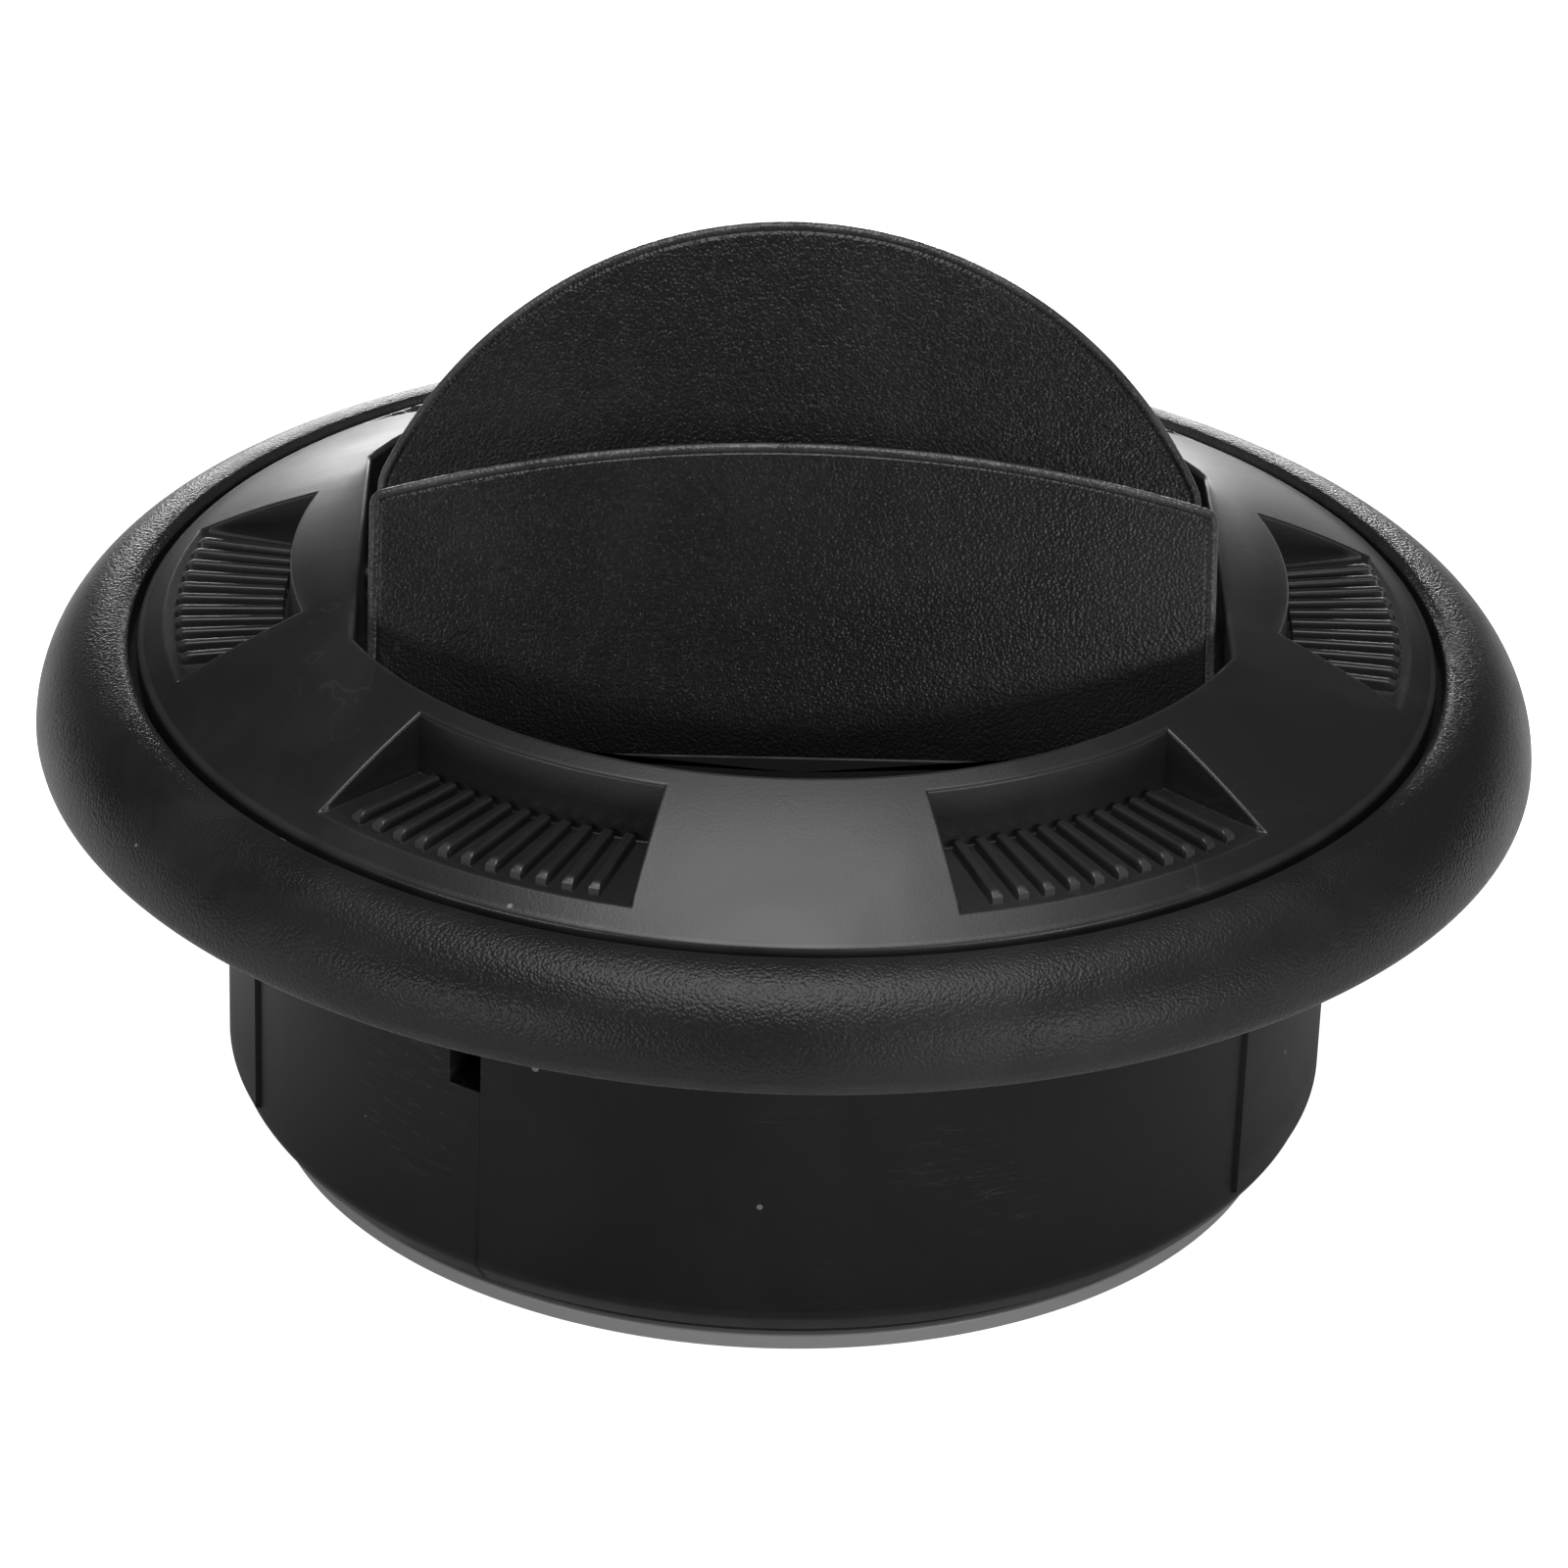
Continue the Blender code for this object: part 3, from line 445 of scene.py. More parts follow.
housing = {"rimCentre": (44.9, 28.9), "rimReach": (5.7, 6.1), "spigot": 37.5, "bore": 35.3, "windowTop": 28.0,
           "windowFoot": 17.2, "windowHalf": math.radians(1.834), "windows": (-33.4, 86.6, 206.6),
           "lands": ((54.2, 111.7), (-126.3, -68.8)), "landRise": 0.3, "landFoot": 4.6, "landTop": 31.0,
           "smoothBelow": 28.35,
           "knit": -31.7, "columns": 440}


def housingColumns(h):
    # even steps round, with close ones at the land edges, the window jambs and the knit line
    even = np.arange(h["columns"]) / h["columns"] * 360.0 - 180.0
    close = [np.array(h["lands"]).ravel()[:, None] + np.linspace(-0.3, 0.3, 7)[None]]
    jamb = np.degrees(h["windowHalf"])
    close.append((np.array(h["windows"])[:, None, None] + np.array([-jamb, jamb])[None, :, None]
                  + np.array([-0.12, 0.0, 0.12])[None, None]))
    close.append(h["knit"] + np.array([-0.5, -0.3, -0.2, -0.12, -0.06, 0.0, 0.06, 0.12, 0.2, 0.3, 0.5]))
    close = np.concatenate([(part.ravel() + 180.0) % 360.0 - 180.0 for part in close])
    close = np.unique(np.round(close, 4))
    gap = np.abs(even[:, None] - close[None]).min(1)
    return np.sort(np.concatenate((even[gap > 0.14], close)))


def makeHousing(h):
    turn = np.linspace(math.pi / 2, 0.0, 46)
    rim = np.stack((h["rimCentre"][0] + h["rimReach"][0] * np.cos(turn),
                    h["rimCentre"][1] + h["rimReach"][1] * np.sin(turn)), -1)
    foot = roundedChain([(50.6, 28.9), (50.52, 28.55), (50.3, 28.4), (47.9, 28.4), (47.4, 30.8), (45.5, 31.4),
                         (37.5, 31.4), (37.5, 20.0)], (0.12, 0.10, 0.2, 0.5, 0.5, 0.35))
    outerZ = np.array([31.0, 30.98, 30.9, 30.82, 30.8, 28.12, h["windowTop"], 24.4, 20.8, h["windowFoot"],
                       16.9, 13.0, 10.0, 7.0, 4.8, 4.76, 4.68, 4.62, 4.6])
    outer = np.stack((np.full(len(outerZ), h["spigot"]), outerZ), -1)
    lip = roundedChain([(37.5, 20.0), (37.5, 4.0), (36.4, 2.5), (35.1, 2.5), (35.1, 1.45), (34.3, 1.45),
                        (34.3, 4.2), (35.3, 5.2), (35.3, 20.0)], (0.35, 0.15, 0.1, 0.15, 0.15, 0.2, 0.2))
    innerZ = np.array([h["windowFoot"], 20.8, 24.4, h["windowTop"]])
    inner = np.stack((np.full(len(innerZ), h["bore"]), innerZ), -1)
    seat = roundedChain([(35.3, 20.0), (35.3, 33.0), (44.35, 33.0), (44.35, 34.66), (44.9, 35.0)],
                        (0.2, 0.25, 0.16))
    profile = np.vstack((rim, foot, outer, lip, inner, seat))
    outerStart = len(rim) + len(foot)
    innerStart = outerStart + len(outer) + len(lip)
    degrees = housingColumns(h)
    angles = np.radians(degrees)

    # radius grows over the two lands, and the knit line stands proud with a shallow wedge cut beside it
    radius = np.repeat(profile[:, 0][:, None], len(angles), 1)
    height = np.repeat(profile[:, 1][:, None], len(angles), 1)
    onSpigot = np.zeros(len(profile))
    onSpigot[outerStart:outerStart + len(outer)] = 1.0
    level = profile[:, 1]
    band = smoothStep((level - h["landFoot"]) / 0.2) * smoothStep((h["landTop"] - level) / 0.2)
    across = np.zeros(len(angles))
    for first, last in h["lands"]:
        rise = smoothStep((degrees - first) / 0.24 + 0.5)
        across = np.maximum(across, rise * smoothStep((last - degrees) / 0.24 + 0.5))
    radius += h["landRise"] * (onSpigot * band)[:, None] * across[None]
    nearLip = (profile[:, 1] > 2.5) & (profile[:, 1] < 17.3) & (profile[:, 0] > 36.3)
    aside = degrees - h["knit"]
    line = 0.09 * np.exp(-(aside / 0.10) ** 2)
    wedge = np.clip((11.0 - profile[:, 1]) / 9.0, 0.0, 1.0)[:, None] * 0.17
    cut = wedge * smoothStep((aside[None] + 0.34) / 0.3) * (aside[None] < 0.02)
    radius += nearLip[:, None] * (line[None] - cut)

    # edge values at the groove, round the rim's outer edge, along the foot and over the lip: wear and a
    # painted highlight
    edge = np.zeros(len(profile))
    edge[outerStart - 20:outerStart] = 0.2
    edge[len(rim) - 2:len(rim) + 10] = 0.7
    edge[-6:] = 0.9
    edge[0] = 0.5
    edge[outerStart + len(outer):innerStart] = 0.5

    # window cells are left out of both walls, and the jambs join the walls
    rows = len(profile)
    columns = len(angles)
    drop = np.zeros((rows, columns), bool)
    outTop = outerStart + int(np.argmin(np.abs(outerZ - h["windowTop"])))
    outFoot = outerStart + int(np.argmin(np.abs(outerZ - h["windowFoot"])))
    inFoot, inTop = innerStart, innerStart + len(innerZ) - 1
    jambs = []
    for middle in h["windows"]:
        middle = (middle + 180.0) % 360.0 - 180.0
        half = np.degrees(h["windowHalf"])
        first = int(np.argmin(np.abs(degrees - (middle - half))))
        last = int(np.argmin(np.abs(degrees - (middle + half))))
        drop[outTop:outFoot, first:last] = True
        drop[inFoot:inTop, first:last] = True
        outRows = np.arange(outTop, outFoot + 1)
        inRows = np.arange(inTop, inFoot - 1, -1)
        for column, flip in ((first, False), (last, True)):
            a, b = outRows * columns + column, inRows * columns + column
            quads = np.stack((a[:-1], b[:-1], b[1:], a[1:]), -1)
            jambs.append(quads[:, ::-1] if flip else quads)
        across = np.arange(first, last + 1)
        for outRow, inRow, flip in ((outTop, inTop, True), (outFoot, inFoot, False)):
            a, b = outRow * columns + across, inRow * columns + across
            quads = np.stack((a[:-1], b[:-1], b[1:], a[1:]), -1)
            jambs.append(quads[:, ::-1] if flip else quads)
    points = np.stack((radius * np.sin(angles)[None], -radius * np.cos(angles)[None], height), -1)
    surface = closedRing(points, np.repeat(edge[:, None], columns, 1), drop)
    surface["quads"] = np.vstack([surface["quads"]] + jambs)
    piece = makePiece("housingShell", [surface], rimPlastic, "housing", ["housing"])
    # the spigot below the rim is moulded smooth, not grained
    piece.data.materials.append(spigotPlastic)
    centre = np.empty(len(piece.data.polygons) * 3)
    piece.data.polygons.foreach_get("center", centre)
    piece.data.polygons.foreach_set("material_index", (centre[2::3] < h["smoothBelow"] * mm).astype(np.int32))
    return piece


makeHousing(housing)
print("housing made")


grip = {"opening": 31.8, "flat": 28.67, "collarFoot": 30.5, "collar": 34.0, "foot": (43.3, 35.15),
        "crown": (31.3, 41.0), "bulge": 0.35, "inner": (26.0, 42.0), "bevel": 0.34, "pocketInner": 33.3,
        "pocketFloor": 35.95, "pocketHalf": math.radians(16.0), "pitch": math.radians(2.45), "ribs": 11,
        "ribHalf": 0.35, "ribHeight": 0.72, "ribStart": 33.9, "ribEnd": 41.3}


def coneHeight(g, radius):
    # a line from the foot to the crown that bows out a little, then a gentler one inwards
    # the two are blended where they meet
    part = np.linspace(0.0, 1.0, 200)
    run = np.array(g["crown"]) - np.array(g["foot"])
    normal = np.array([run[1], -run[0]]) / np.linalg.norm(run)
    bow = 4.0 * g["bulge"] * part * (1 - part)
    line = np.array(g["foot"]) + run * part[:, None] + normal * bow[:, None]
    inward = np.array(g["crown"]) + (np.array(g["inner"]) - np.array(g["crown"])) * part[1:, None]
    curve = np.vstack((line, inward))[::-1]
    even = np.linspace(26.0, 43.3, 700)
    height = np.interp(even, curve[:, 0], curve[:, 1])
    kernel = np.hanning(61)
    smooth = np.convolve(np.pad(height, 30, mode="edge"), kernel / kernel.sum(), mode="valid")
    share = smoothStep((even - 27.6) / 1.0) * smoothStep((35.0 - even) / 1.5)
    return np.interp(radius, even, height + (smooth - height) * share)


def wallDrop(away, top, floor, upper=0.2, lower=0.15):
    # from the top, over a small round, down a steep wall and through a small fillet to the floor
    depth = np.maximum(top - floor, 1e-4)
    upper = np.minimum(upper, depth * 0.5)
    lower = np.minimum(lower, depth * 0.4)
    over = top - (upper - np.sqrt(np.maximum(upper ** 2 - np.clip(away, 0, upper) ** 2, 0.0)))
    wallStart, wallEnd = upper, upper + 0.03
    share = np.clip((away - wallStart) / 0.03, 0.0, 1.0)
    wall = (top - upper) + ((floor + lower) - (top - upper)) * share
    into = np.clip(wallEnd + lower - away, 0.0, lower)
    fillet = floor + lower - np.sqrt(np.maximum(lower ** 2 - into ** 2, 0.0))
    height = np.where(away <= wallStart, over, np.where(away <= wallEnd, wall, fillet))
    return np.where(away <= 0.0, top, height)


def gripColumns(g):
    # for one sixth of the ring: an angle and a sideways offset (mm) for each column, so that walls and ribs
    # keep their width
    wallAway = np.array([-0.08, 0.0, 0.05, 0.10, 0.15, 0.185, 0.2, 0.215, 0.23, 0.26, 0.31, 0.38])
    ribAway = np.array([0.16, 0.25, 0.31, 0.35, 0.38, 0.41, 0.45])
    ribAway = np.concatenate((-ribAway[::-1], ribAway))
    ribs = (np.arange(g["ribs"]) - (g["ribs"] - 1) / 2) * g["pitch"]
    ribAngle = np.repeat(ribs, len(ribAway))
    ribOffset = np.tile(ribAway, g["ribs"])
    plain = np.linspace(g["pocketHalf"], math.radians(44.0), 15)[1:-1]
    # the opening's four corners lie 90 degrees from the flats' middles, in the gaps between pockets
    extra = np.array([math.radians(64.37 - 30.0), math.radians(115.63 - 90.0)])
    plain = np.sort(np.concatenate((plain[np.abs(plain[:, None] - extra[None]).min(1) > 0.008], extra)))
    angle = np.concatenate((np.full(12, -g["pocketHalf"]), ribAngle, np.full(12, g["pocketHalf"]), plain))
    offset = np.concatenate((wallAway, ribOffset, -wallAway[::-1], np.zeros(len(plain))))
    return angle, offset


def makeGripRing(g):
    angle, offset = gripColumns(g)
    count = len(angle)
    centre = np.radians(30.0 + 60.0 * np.arange(6))
    middle = np.repeat(centre, count)
    angle = np.tile(angle, 6)
    offset = np.tile(offset, 6)

    # the opening is a circle with two flat sides
    def openingAt(direction):
        return np.minimum(g["opening"], g["flat"] / np.maximum(np.abs(np.sin(direction)), 1e-6))

    inner = openingAt(middle + angle + offset / 33.4)
    b = g["bevel"]
    shoulder = coneHeight(g, inner + b)
    bend = np.linspace(0.0, math.pi / 2, 6)[:, None]
    wallZ = np.array([g["collarFoot"] + 0.12, 33.0, 36.0])[:, None] + 0.0 * inner
    throat = np.stack((0.0 * wallZ + inner, wallZ), -1)
    bevel = np.stack((inner + b * (1 - np.cos(bend)), shoulder - b * (1 - np.sin(bend))), -1)
    share = np.array([0.12, 0.3, 0.5, 0.7, 0.88])[:, None]
    crownR = inner + b + (g["pocketInner"] - 0.02 - inner - b) * share
    wall = np.array([-0.02, 0.0, 0.05, 0.10, 0.15, 0.185, 0.2, 0.215, 0.23, 0.26, 0.31, 0.38])
    fixed = np.concatenate((g["pocketInner"] + wall,
                            [33.80, 33.90, 33.95, 34.0, 34.1], np.linspace(34.6, 39.9, 7),
                            [40.15, 40.35, 40.5, 40.6, 40.75, 40.95, 41.1, 41.16, 41.20, 41.25, 41.30, 41.36],
                            np.linspace(41.5, 42.5, 9), [42.75, 43.0, 43.2, 43.3]))
    coneR = np.vstack((crownR, fixed[:, None] + 0.0 * inner))
    grow = np.maximum(coneR, 33.4)
    sideways = angle[None] + offset[None] / grow
    cone = coneHeight(g, coneR)

    # ribs: flat tops with rounded edges, clear of the inner wall and cut off short of the pocket's mouth
    nearest = np.clip(np.round(sideways / g["pitch"]), -5, 5) * g["pitch"]
    ribAway = np.abs(sideways - nearest) * grow
    half = g["ribHalf"]
    top = g["ribHeight"] * np.minimum(np.clip((coneR - g["ribStart"]) / 0.1, 0.0, 1.0),
                                      np.clip((g["ribEnd"] - coneR) / 0.15, 0.0, 1.0))
    shape = wallDrop(ribAway - (half - 0.19), g["ribHeight"] + 0.0 * ribAway, 0.0 * ribAway, 0.19, 0.07)
    rib = np.minimum(shape, top)
    floor = g["pocketFloor"] + rib
    away = np.minimum(coneR - g["pocketInner"], (g["pocketHalf"] - np.abs(sideways)) * grow)
    height = np.minimum(cone, wallDrop(away, cone, np.minimum(floor, cone - 1e-4)))
    surfaceRows = np.stack((coneR, height), -1)

    # worn and painted with a highlight along the pocket's mouth, the rib tops' edges and the rib ends
    mouth = np.exp(-((away - 0.04) / 0.09) ** 2) * (cone - g["pocketFloor"] > 0.05)
    onRib = (away > 0.3) * (coneR > g["ribStart"]) * (coneR < g["ribEnd"])
    ribEdge = np.exp(-((ribAway - half + 0.06) / 0.06) ** 2) * onRib
    # the rib tops near their outer ends are painted lighter as a highlight
    ribTopHighlight = (ribAway < half) * onRib * smoothStep((coneR - 40.4) / 0.2)
    runOut = np.exp(-((cone - g["pocketFloor"]) / 0.05) ** 2) * (away > 0.0)
    wearAndHighlight = np.maximum.reduce((0.8 * mouth, 0.5 * ribEdge, 0.9 * ribTopHighlight, 0.5 * runOut))

    skirt = np.array([(43.42, 35.10), (43.55, 35.03), (43.66, 34.95), (43.72, 34.87), (43.75, 34.75),
                      (43.75, 33.45), (43.60, 33.3), (42.05, 33.3), (41.95, 33.4), (41.95, 34.3),
                      (g["collar"] + 0.2, 34.3), (g["collar"], 34.15), (g["collar"], g["collarFoot"] + 0.12),
                      (g["collar"] - 0.12, g["collarFoot"])])
    skirt = np.repeat(skirt[:, None], len(inner), 1)
    floorRow = np.stack((inner + 0.12, np.full_like(inner, g["collarFoot"])), -1)[None]
    rz = np.concatenate((throat, bevel, surfaceRows, skirt, floorRow))
    lead = np.repeat((angle + offset / 33.4)[None], len(throat) + len(bevel), 0)
    tail = np.repeat((angle + offset / 43.3)[None], len(skirt), 0)
    direction = middle[None] + np.vstack((lead, sideways, tail, (angle + offset / 33.4)[None]))
    points = np.stack((rz[..., 0] * np.sin(direction), -rz[..., 0] * np.cos(direction), rz[..., 1]), -1)
    # edge values on the opening's bevel and the ring's rounded outer edge: wear and a painted highlight
    edge = np.zeros(points.shape[:2])
    edge[len(throat):len(throat) + len(bevel)] = np.array([0.3, 0.8, 1.0, 1.0, 0.8, 0.4])[:, None]
    edge[len(throat) + len(bevel):-len(skirt) - 1] = wearAndHighlight
    edge[-len(skirt) - 1:-len(skirt) + 4] = 0.6
    return makePiece("gripRing", [closedRing(points, edge)], rotorPlastic, "rotor", ["grip_ring"])


makeGripRing(grip)

stop = {"outer": 32.2, "front": (27.7, 39.1, 39.95, 0.24), "rear": (29.1, 35.7, 37.05, 0.32)}


def makeStop(name, s, side, size):
    # the piece of a disc beyond a straight chord, as a rounded plate let into the ring
    straight, low, high, edge = size
    reach = math.acos(straight / s["outer"])
    sweep = np.linspace(-reach, reach, 90)
    arc = np.stack((s["outer"] * np.sin(sweep), side * s["outer"] * np.cos(sweep)), -1)
    chord = np.stack((np.linspace(arc[-1, 0], arc[0, 0], 90), np.full(90, side * straight)), -1)
    outline = curveOutline([arc, chord], 0.5, 110)
    plate = roundedPlate(outline, low, high, edge, 0.0, (0.0, side * (straight + s["outer"]) / 2))
    # its finish is painted dark as shade, with a painted highlight along its edges
    return makePiece(name, [plate], stopPaintedShadePlastic, "rotor")


makeStop("frontStopLip", stop, -1, stop["front"])
makeStop("rearStopLip", stop, 1, stop["rear"])
print("grip ring and stop lips made")


# sleeve and retainer: inner and outer radius, foot and top; friction: radius, height and half thickness
rings = {"sleeve": (31.8, 33.6, 1.4, 30.2), "retainer": (31.8, 35.0, 0.0, 1.1),
         "friction": (34.45, 26.0, 0.55)}


def makeTube(name, span, material, node, corner):
    inner, outer, low, high = span
    chain = [(outer, (low + high) / 2), (outer, low), (inner, low), (inner, high), (outer, high),
             (outer, (low + high) / 2)]
    profile = roundedChain(chain, (corner,) * 4, 6)
    # edge values over each rounded corner: wear and a painted highlight
    edge = np.tile([0.4, 0.9, 1.0, 1.0, 0.9, 0.4], 4)
    return makePiece(name, [turned(profile, fullTurn(240), edge)], material, "rotor", [node])


makeTube("ductSleeve", rings["sleeve"], sleevePlastic, "duct_sleeve", 0.22)
makeTube("retainingRing", rings["retainer"], retainerPlastic, "retaining_ring", 0.2)
ringR, ringZ, ringHalf = rings["friction"]
section = np.stack((ringR + ringHalf * np.cos(fullTurn(20)), ringZ + ringHalf * np.sin(fullTurn(20))), -1)
makePiece("frictionRing", [turned(section, fullTurn(240))], frictionRubber, "rotor",
          ["friction_ring"])
print("sleeve and rings made")


blade = {"open": math.radians(65.0), "pivotZ": 35.28, "face": 3.5, "thick": 1.4, "radius": 30.7,
         "half": 27.95, "splitY": 7.51, "splitRadius": 102.8, "splitGap": 0.45, "corner": 0.9, "edge": 0.34,
         "border": 0.08, "dome": 1.6, "ear": (25.9, 27.5, 2.6), "lug": (20.0, 21.5, 2.2), "crank": 6.0,
         "spine": (1.2, 1.5, 24.3), "frontPivot": -8.4, "rearPivot": 5.8}


def splitLine(b, offset):
    x = np.linspace(b["half"], -b["half"], 160)
    radius = b["splitRadius"] + offset
    return np.stack((x, b["splitY"] + offset - (radius - np.sqrt(radius ** 2 - x ** 2))), -1)


def splitAt(b, x):
    radius = b["splitRadius"] + b["splitGap"]
    return b["splitY"] + b["splitGap"] - (radius - math.sqrt(radius ** 2 - x ** 2))


def bladeOutline(b, isFront):
    # the split line, two straight sides and the round part of the opening's own outline
    corner = math.acos(b["half"] / b["radius"])
    sweep = np.linspace(corner, math.pi - corner, 200) + (math.pi if isFront else 0.0)
    arc = b["radius"] * np.stack((np.cos(sweep), np.sin(sweep)), -1)
    split = splitLine(b, 0.0 if isFront else b["splitGap"])
    split = split if isFront else split[::-1]
    return curveOutline([split, np.linspace(split[-1], arc[0], 60), arc, np.linspace(arc[-1], split[0], 60)],
                        b["corner"], 90)


def openedUp(b, surface, pivotY):
    # turned about the pivot, from lying flat and closed to standing open
    x, y, z = surface["points"].T
    v, h = y - pivotY, z - b["pivotZ"]
    c, s = math.cos(b["open"]), math.sin(b["open"])
    surface["points"] = np.stack((x, pivotY + v * c - h * s, b["pivotZ"] + v * s + h * c), -1)
    return surface


def tongue(y, z, radius, top, step=None):
    # straight from its root, round at its foot; a step keeps the rear tongues clear of the front blade
    sweep = np.linspace(math.pi, math.tau, 40)
    foot = np.stack((y + radius * np.cos(sweep), z + radius * np.sin(sweep)), -1)
    if step is None:
        corners = [(y + radius, top), (y - radius, top), (y - radius, z)]
    else:
        corners = [(y + radius, top), (step[0], top), step, (y - radius, step[1]), (y - radius, z)]
    sides = [np.array(pair) for pair in zip(corners, corners[1:])]
    return sides + [foot, np.array([(y + radius, z), (y + radius, top)])]


def makeBlade(name, b, isFront, pivotY, body):
    high = b["pivotZ"] + b["face"]
    low = high - b["thick"]
    sunk = low + 0.5
    centre = (0.0, -9.0) if isFront else (0.0, 17.0)
    plate = roundedPlate(bladeOutline(b, isFront), low, high, b["edge"], b["border"], centre)
    x, y, z = plate["points"].T
    # the plate swells a little towards the middle of the opening
    plate["points"] = np.stack((x, y, z + b["dome"] * (1.0 - (x ** 2 + y ** 2) / b["radius"] ** 2)), -1)
    parts = [plate]
    under = low - 0.35
    earLow, earHigh, earRadius = b["ear"]
    step = None if isFront else (splitAt(b, earLow) + 0.5, under)
    outline = curveOutline(tongue(pivotY, b["pivotZ"], earRadius, sunk, step), 0.05, 20, 3)
    ear = alongX(roundedPlate(outline, earLow, earHigh, 0.2))
    parts += [ear, mirroredX(ear)]
    lugLow, lugHigh, lugRadius = b["lug"]
    step = None if isFront else (splitAt(b, lugLow) + 0.5, under)
    outline = curveOutline(tongue(pivotY, b["pivotZ"] - b["crank"], lugRadius, sunk + 0.4, step), 0.05, 20, 3)
    parts.append(alongX(roundedPlate(outline, lugLow, lugHigh, 0.2)))
    width, depth, end = b["spine"]
    back = 0.0 if isFront else 3.6
    y0, y1 = pivotY - width / 2 + back, pivotY + width / 2 + back
    box = np.array([(y0, sunk), (y0, low - depth), (y1, low - depth), (y1, sunk), (y0, sunk)])
    sides = [box[k:k + 2] for k in range(4)]
    spine = alongX(roundedPlate(curveOutline(sides, 0.2, 8, 4), -end, end, 0.04))
    parts.append(spine)
    parts = [openedUp(b, part, pivotY) for part in parts]
    return makePiece(name, parts, bladePlastic, body, [body])


makeBlade("frontBlade", blade, True, blade["frontPivot"], "front_blade")
makeBlade("rearBlade", blade, False, blade["rearPivot"], "rear_blade")
print("blades made")


# pins: where they start and end along X, head and shank radius, head length; bar: its two sides and radius
pins = {"pivot": (24.9, 31.2, 2.0, 1.2, 0.7), "link": (19.1, 23.8, 1.7, 0.95, 0.6), "bar": (21.9, 23.3, 2.1)}


def pinSurface(shape, y, z, side=1):
    # a head, a shank and a rounded end, turned about an axis along X
    start, end, head, shank, headLength = shape
    under = start + headLength
    chain = [(0.0, start), (head, start), (head, under), (shank, under), (shank, end), (0.0, end)]
    profile = roundedChain(chain, (0.2, 0.15, 0.1, 0.25), 5)
    profile = np.vstack(([(0.0, start)], [(head * 0.5, start)], profile, [(shank * 0.4, end)], [(0.0, end)]))
    sweep = fullTurn(56)
    radius = profile[:, 0][:, None]
    x = side * np.repeat(profile[:, 1][:, None], len(sweep), 1)
    points = np.stack((x, y + radius * np.cos(sweep)[None], z + radius * np.sin(sweep)[None]), -1)
    # edge values round the head: wear and a painted highlight
    edge = np.zeros(points.shape[:2])
    edge[2:7] = 0.8
    return closedShell(points, edge)


def crankPlace(b, pivotY):
    return pivotY + b["crank"] * math.sin(b["open"]), b["pivotZ"] - b["crank"] * math.cos(b["open"])


for label in ("front", "rear"):
    pivotY = blade[label + "Pivot"]
    body = label + "_blade"
    for hand, side in (("left", -1), ("right", 1)):
        pin = pinSurface(pins["pivot"], pivotY, blade["pivotZ"], side)
        makePiece(f"{label}PivotPin_{hand}", [pin], pinPlastic, body, [f"{label}_pin_{hand}"])
    pin = pinSurface(pins["link"], *crankPlace(blade, pivotY))
    makePiece(f"{label}LinkPin", [pin], pinPlastic, body, [f"{label}_link_pin"])

barLow, barHigh, barRadius = pins["bar"]
frontY, crankZ = crankPlace(blade, blade["frontPivot"])
rearY, crankZ = crankPlace(blade, blade["rearPivot"])
left = np.linspace(math.pi / 2, 3 * math.pi / 2, 40)
across, down = barRadius * np.cos(left), barRadius * np.sin(left)
barSides = [np.stack((frontY + across, crankZ + down), -1),
            np.array([(frontY, crankZ - barRadius), (rearY, crankZ - barRadius)]),
            np.stack((rearY - across, crankZ - down), -1),
            np.array([(rearY, crankZ + barRadius), (frontY, crankZ + barRadius)])]
bar = alongX(roundedPlate(curveOutline(barSides, 0.03, 40, 2), barLow, barHigh, 0.18))
makePiece("linkBar", [bar], sleevePlastic, "link", ["link_bar"])
print("pins and link made")


studio = {"floorTone": 0.75, "floorSize": 4.0, "floorGlow": 1.0, "floorThrow": 0.22, "back": 2.6, "top": 7.5,
          "left": 2.6, "right": 3.8, "world": 0.04}


def makeFloor(tone):
    mesh = bpy.data.meshes.new("floor")
    size = studio["floorSize"]
    corners = [(-size, -size, 0), (size, -size, 0), (size, size, 0), (-size, size, 0)]
    mesh.from_pydata(corners, [], [(0, 1, 2, 3)])
    material = bpy.data.materials.new("paleFloor")
    material.use_nodes = True
    tree = material.node_tree
    shader = tree.nodes["Principled BSDF"]
    where = addNode(tree, "ShaderNodeTexCoord", {}).outputs["Object"]
    cloud = addNode(tree, "ShaderNodeTexNoise", {"Vector": where, "Scale": 6.0, "Detail": 3.0})
    pale, dull = (tone, tone, tone, 1.0), (tone * 0.99, tone * 0.99, tone * 0.99, 1.0)
    tree.links.new(mixColour(tree, cloud.outputs["Fac"], pale, dull), shader.inputs["Base Color"])
    shader.inputs["Roughness"].default_value = 0.8
    shader.inputs["Specular IOR Level"].default_value = 0.2
    # full glow where the floor is seen, a weaker one for the light that it throws back
    seen = addNode(tree, "ShaderNodeLightPath", {}).outputs["Is Camera Ray"]
    weak = studio["floorThrow"] / studio["floorGlow"]
    glow = mixColour(tree, seen, (weak, weak, weak, 1.0), (1.0, 1.0, 1.0, 1.0))
    tree.links.new(glow, shader.inputs["Emission Color"])
    shader.inputs["Emission Strength"].default_value = studio["floorGlow"]
    mesh.materials.append(material)
    floor = bpy.data.objects.new("floor", mesh)
    scene.collection.objects.link(floor)


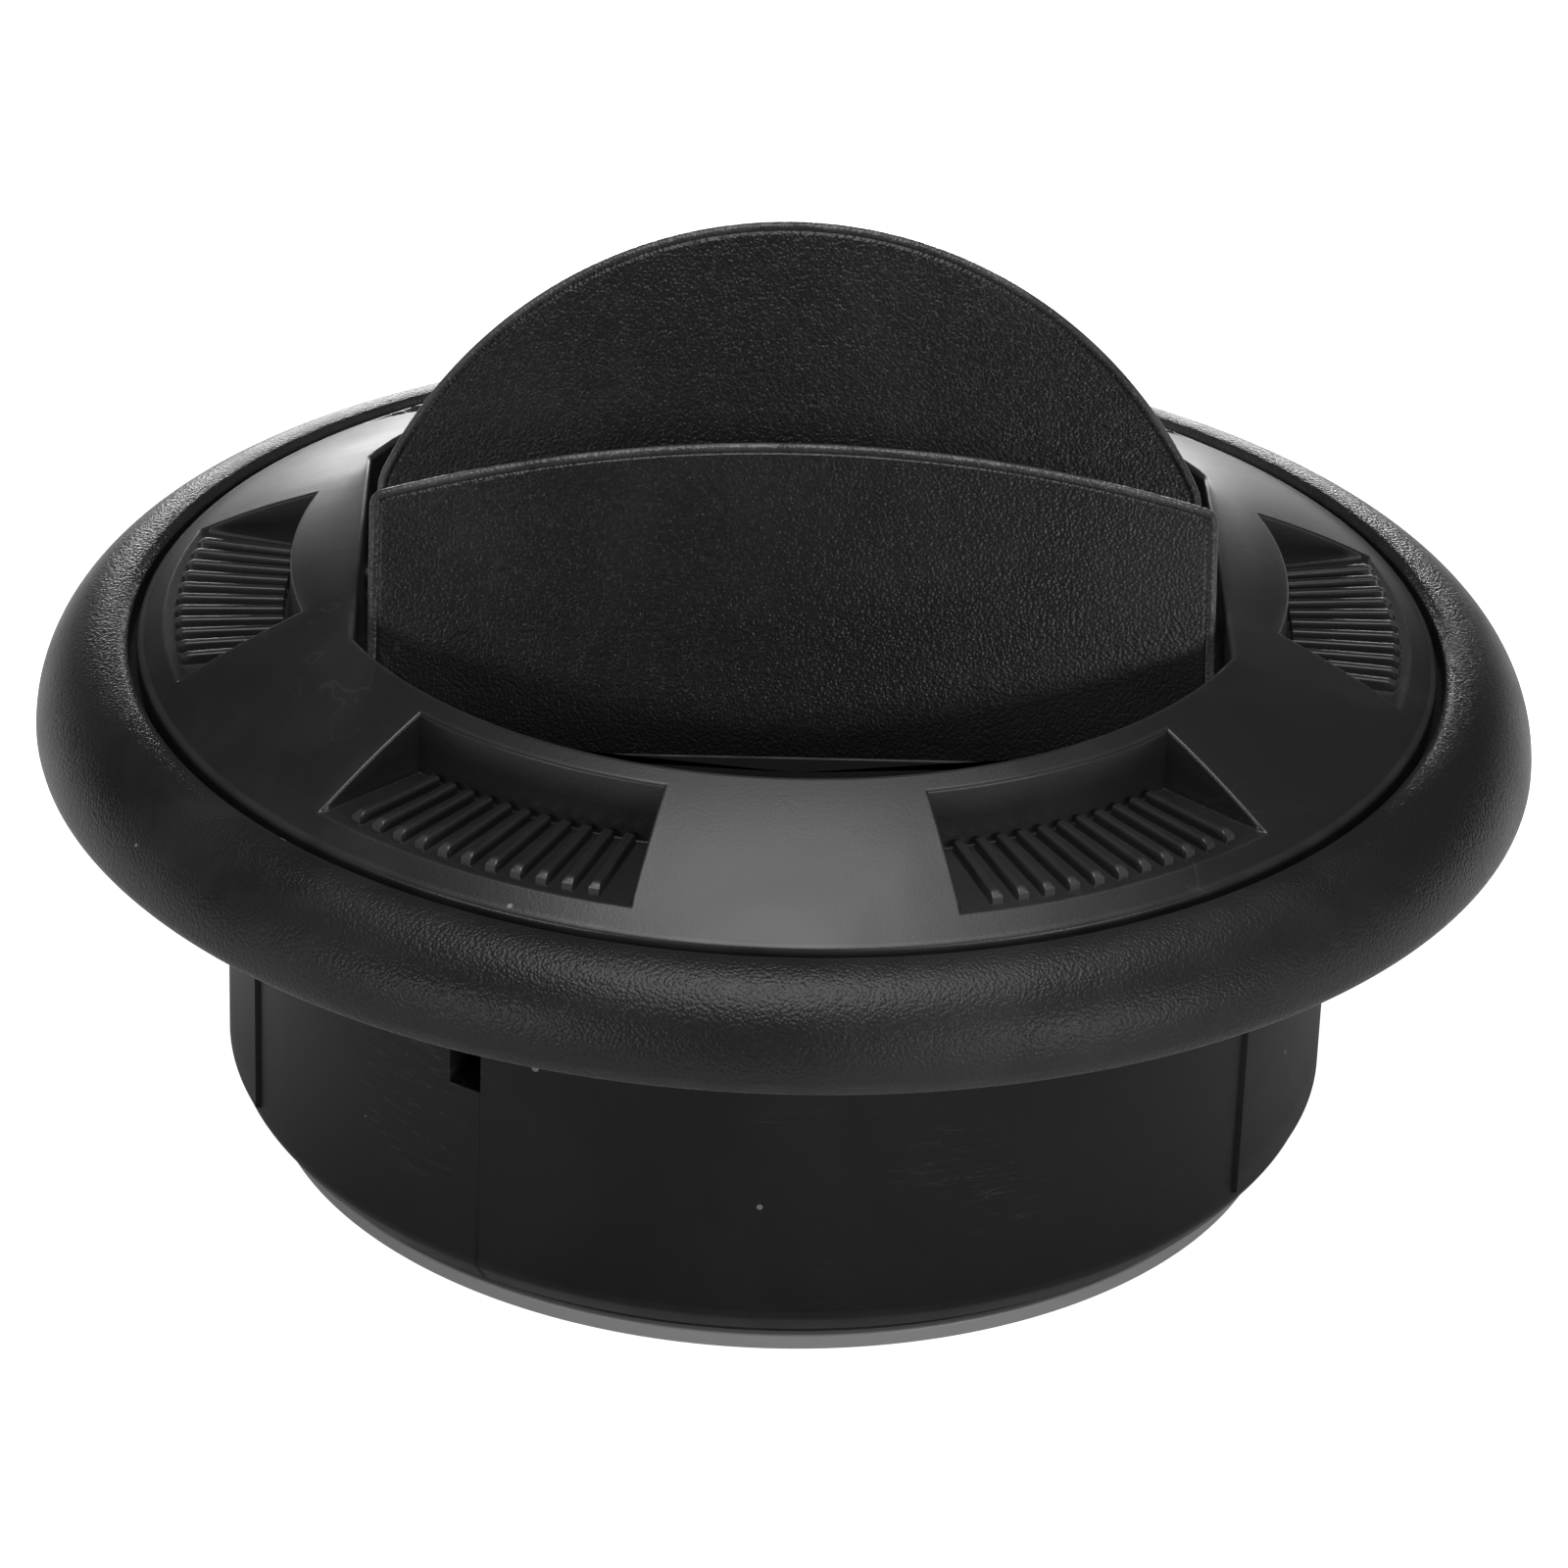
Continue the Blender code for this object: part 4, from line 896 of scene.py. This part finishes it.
def makePanel(name, place, aim, size, power):
    light = bpy.data.lights.new(name, "AREA")
    light.shape = "RECTANGLE"
    light.size, light.size_y = size
    light.energy = power
    panel = bpy.data.objects.new(name, light)
    panel.location = place
    panel.rotation_euler = (Vector(aim) - Vector(place)).to_track_quat("-Z", "Y").to_euler()
    scene.collection.objects.link(panel)


makeFloor(studio["floorTone"])
makePanel("backPanel", (0.0, 0.95, 0.06), (0.0, 0.0, 0.04), (0.5, 0.10), studio["back"])
makePanel("topPanel", (0.0, -0.10, 0.95), (0.0, 0.0, 0.03), (0.55, 0.72), studio["top"])
makePanel("leftPanel", (-0.78, -0.78, 0.34), (0.0, 0.0, 0.03), (0.6, 0.16), studio["left"])
makePanel("rightPanel", (0.72, -0.84, 0.34), (0.0, 0.0, 0.03), (0.6, 0.16), studio["right"])
world = bpy.data.worlds.new("studio")
world.use_nodes = True
world.node_tree.nodes["Background"].inputs["Color"].default_value = (1.0, 1.0, 1.0, 1.0)
world.node_tree.nodes["Background"].inputs["Strength"].default_value = studio["world"]
scene.world = world
scene.view_settings.view_transform = "Standard"

view = {"distance": 445.6, "elevation": 27.38, "side": -1.571, "roll": 2.0, "lens": 150.4,
        "aim": (0.0, 0.0, 28.4), "shift": (-0.00044, -0.0429)}


def makeCamera(v):
    up = math.radians(v["elevation"])
    side = math.radians(v["side"])
    aim = Vector(v["aim"]) * mm
    away = Vector((math.sin(side) * math.cos(up), -math.cos(side) * math.cos(up), math.sin(up)))
    data = bpy.data.cameras.new("camera")
    data.lens = v["lens"]
    data.sensor_width = 36.0
    data.shift_x, data.shift_y = v["shift"]
    data.clip_start = 0.01
    camera = bpy.data.objects.new("camera", data)
    look = (-away).to_track_quat("-Z", "Y").to_matrix().to_4x4()
    roll = Matrix.Rotation(math.radians(v["roll"]), 4, "Z")
    camera.matrix_world = Matrix.Translation(aim + away * v["distance"] * mm) @ look @ roll
    scene.collection.objects.link(camera)
    scene.camera = camera


makeCamera(view)
print("studio ready")
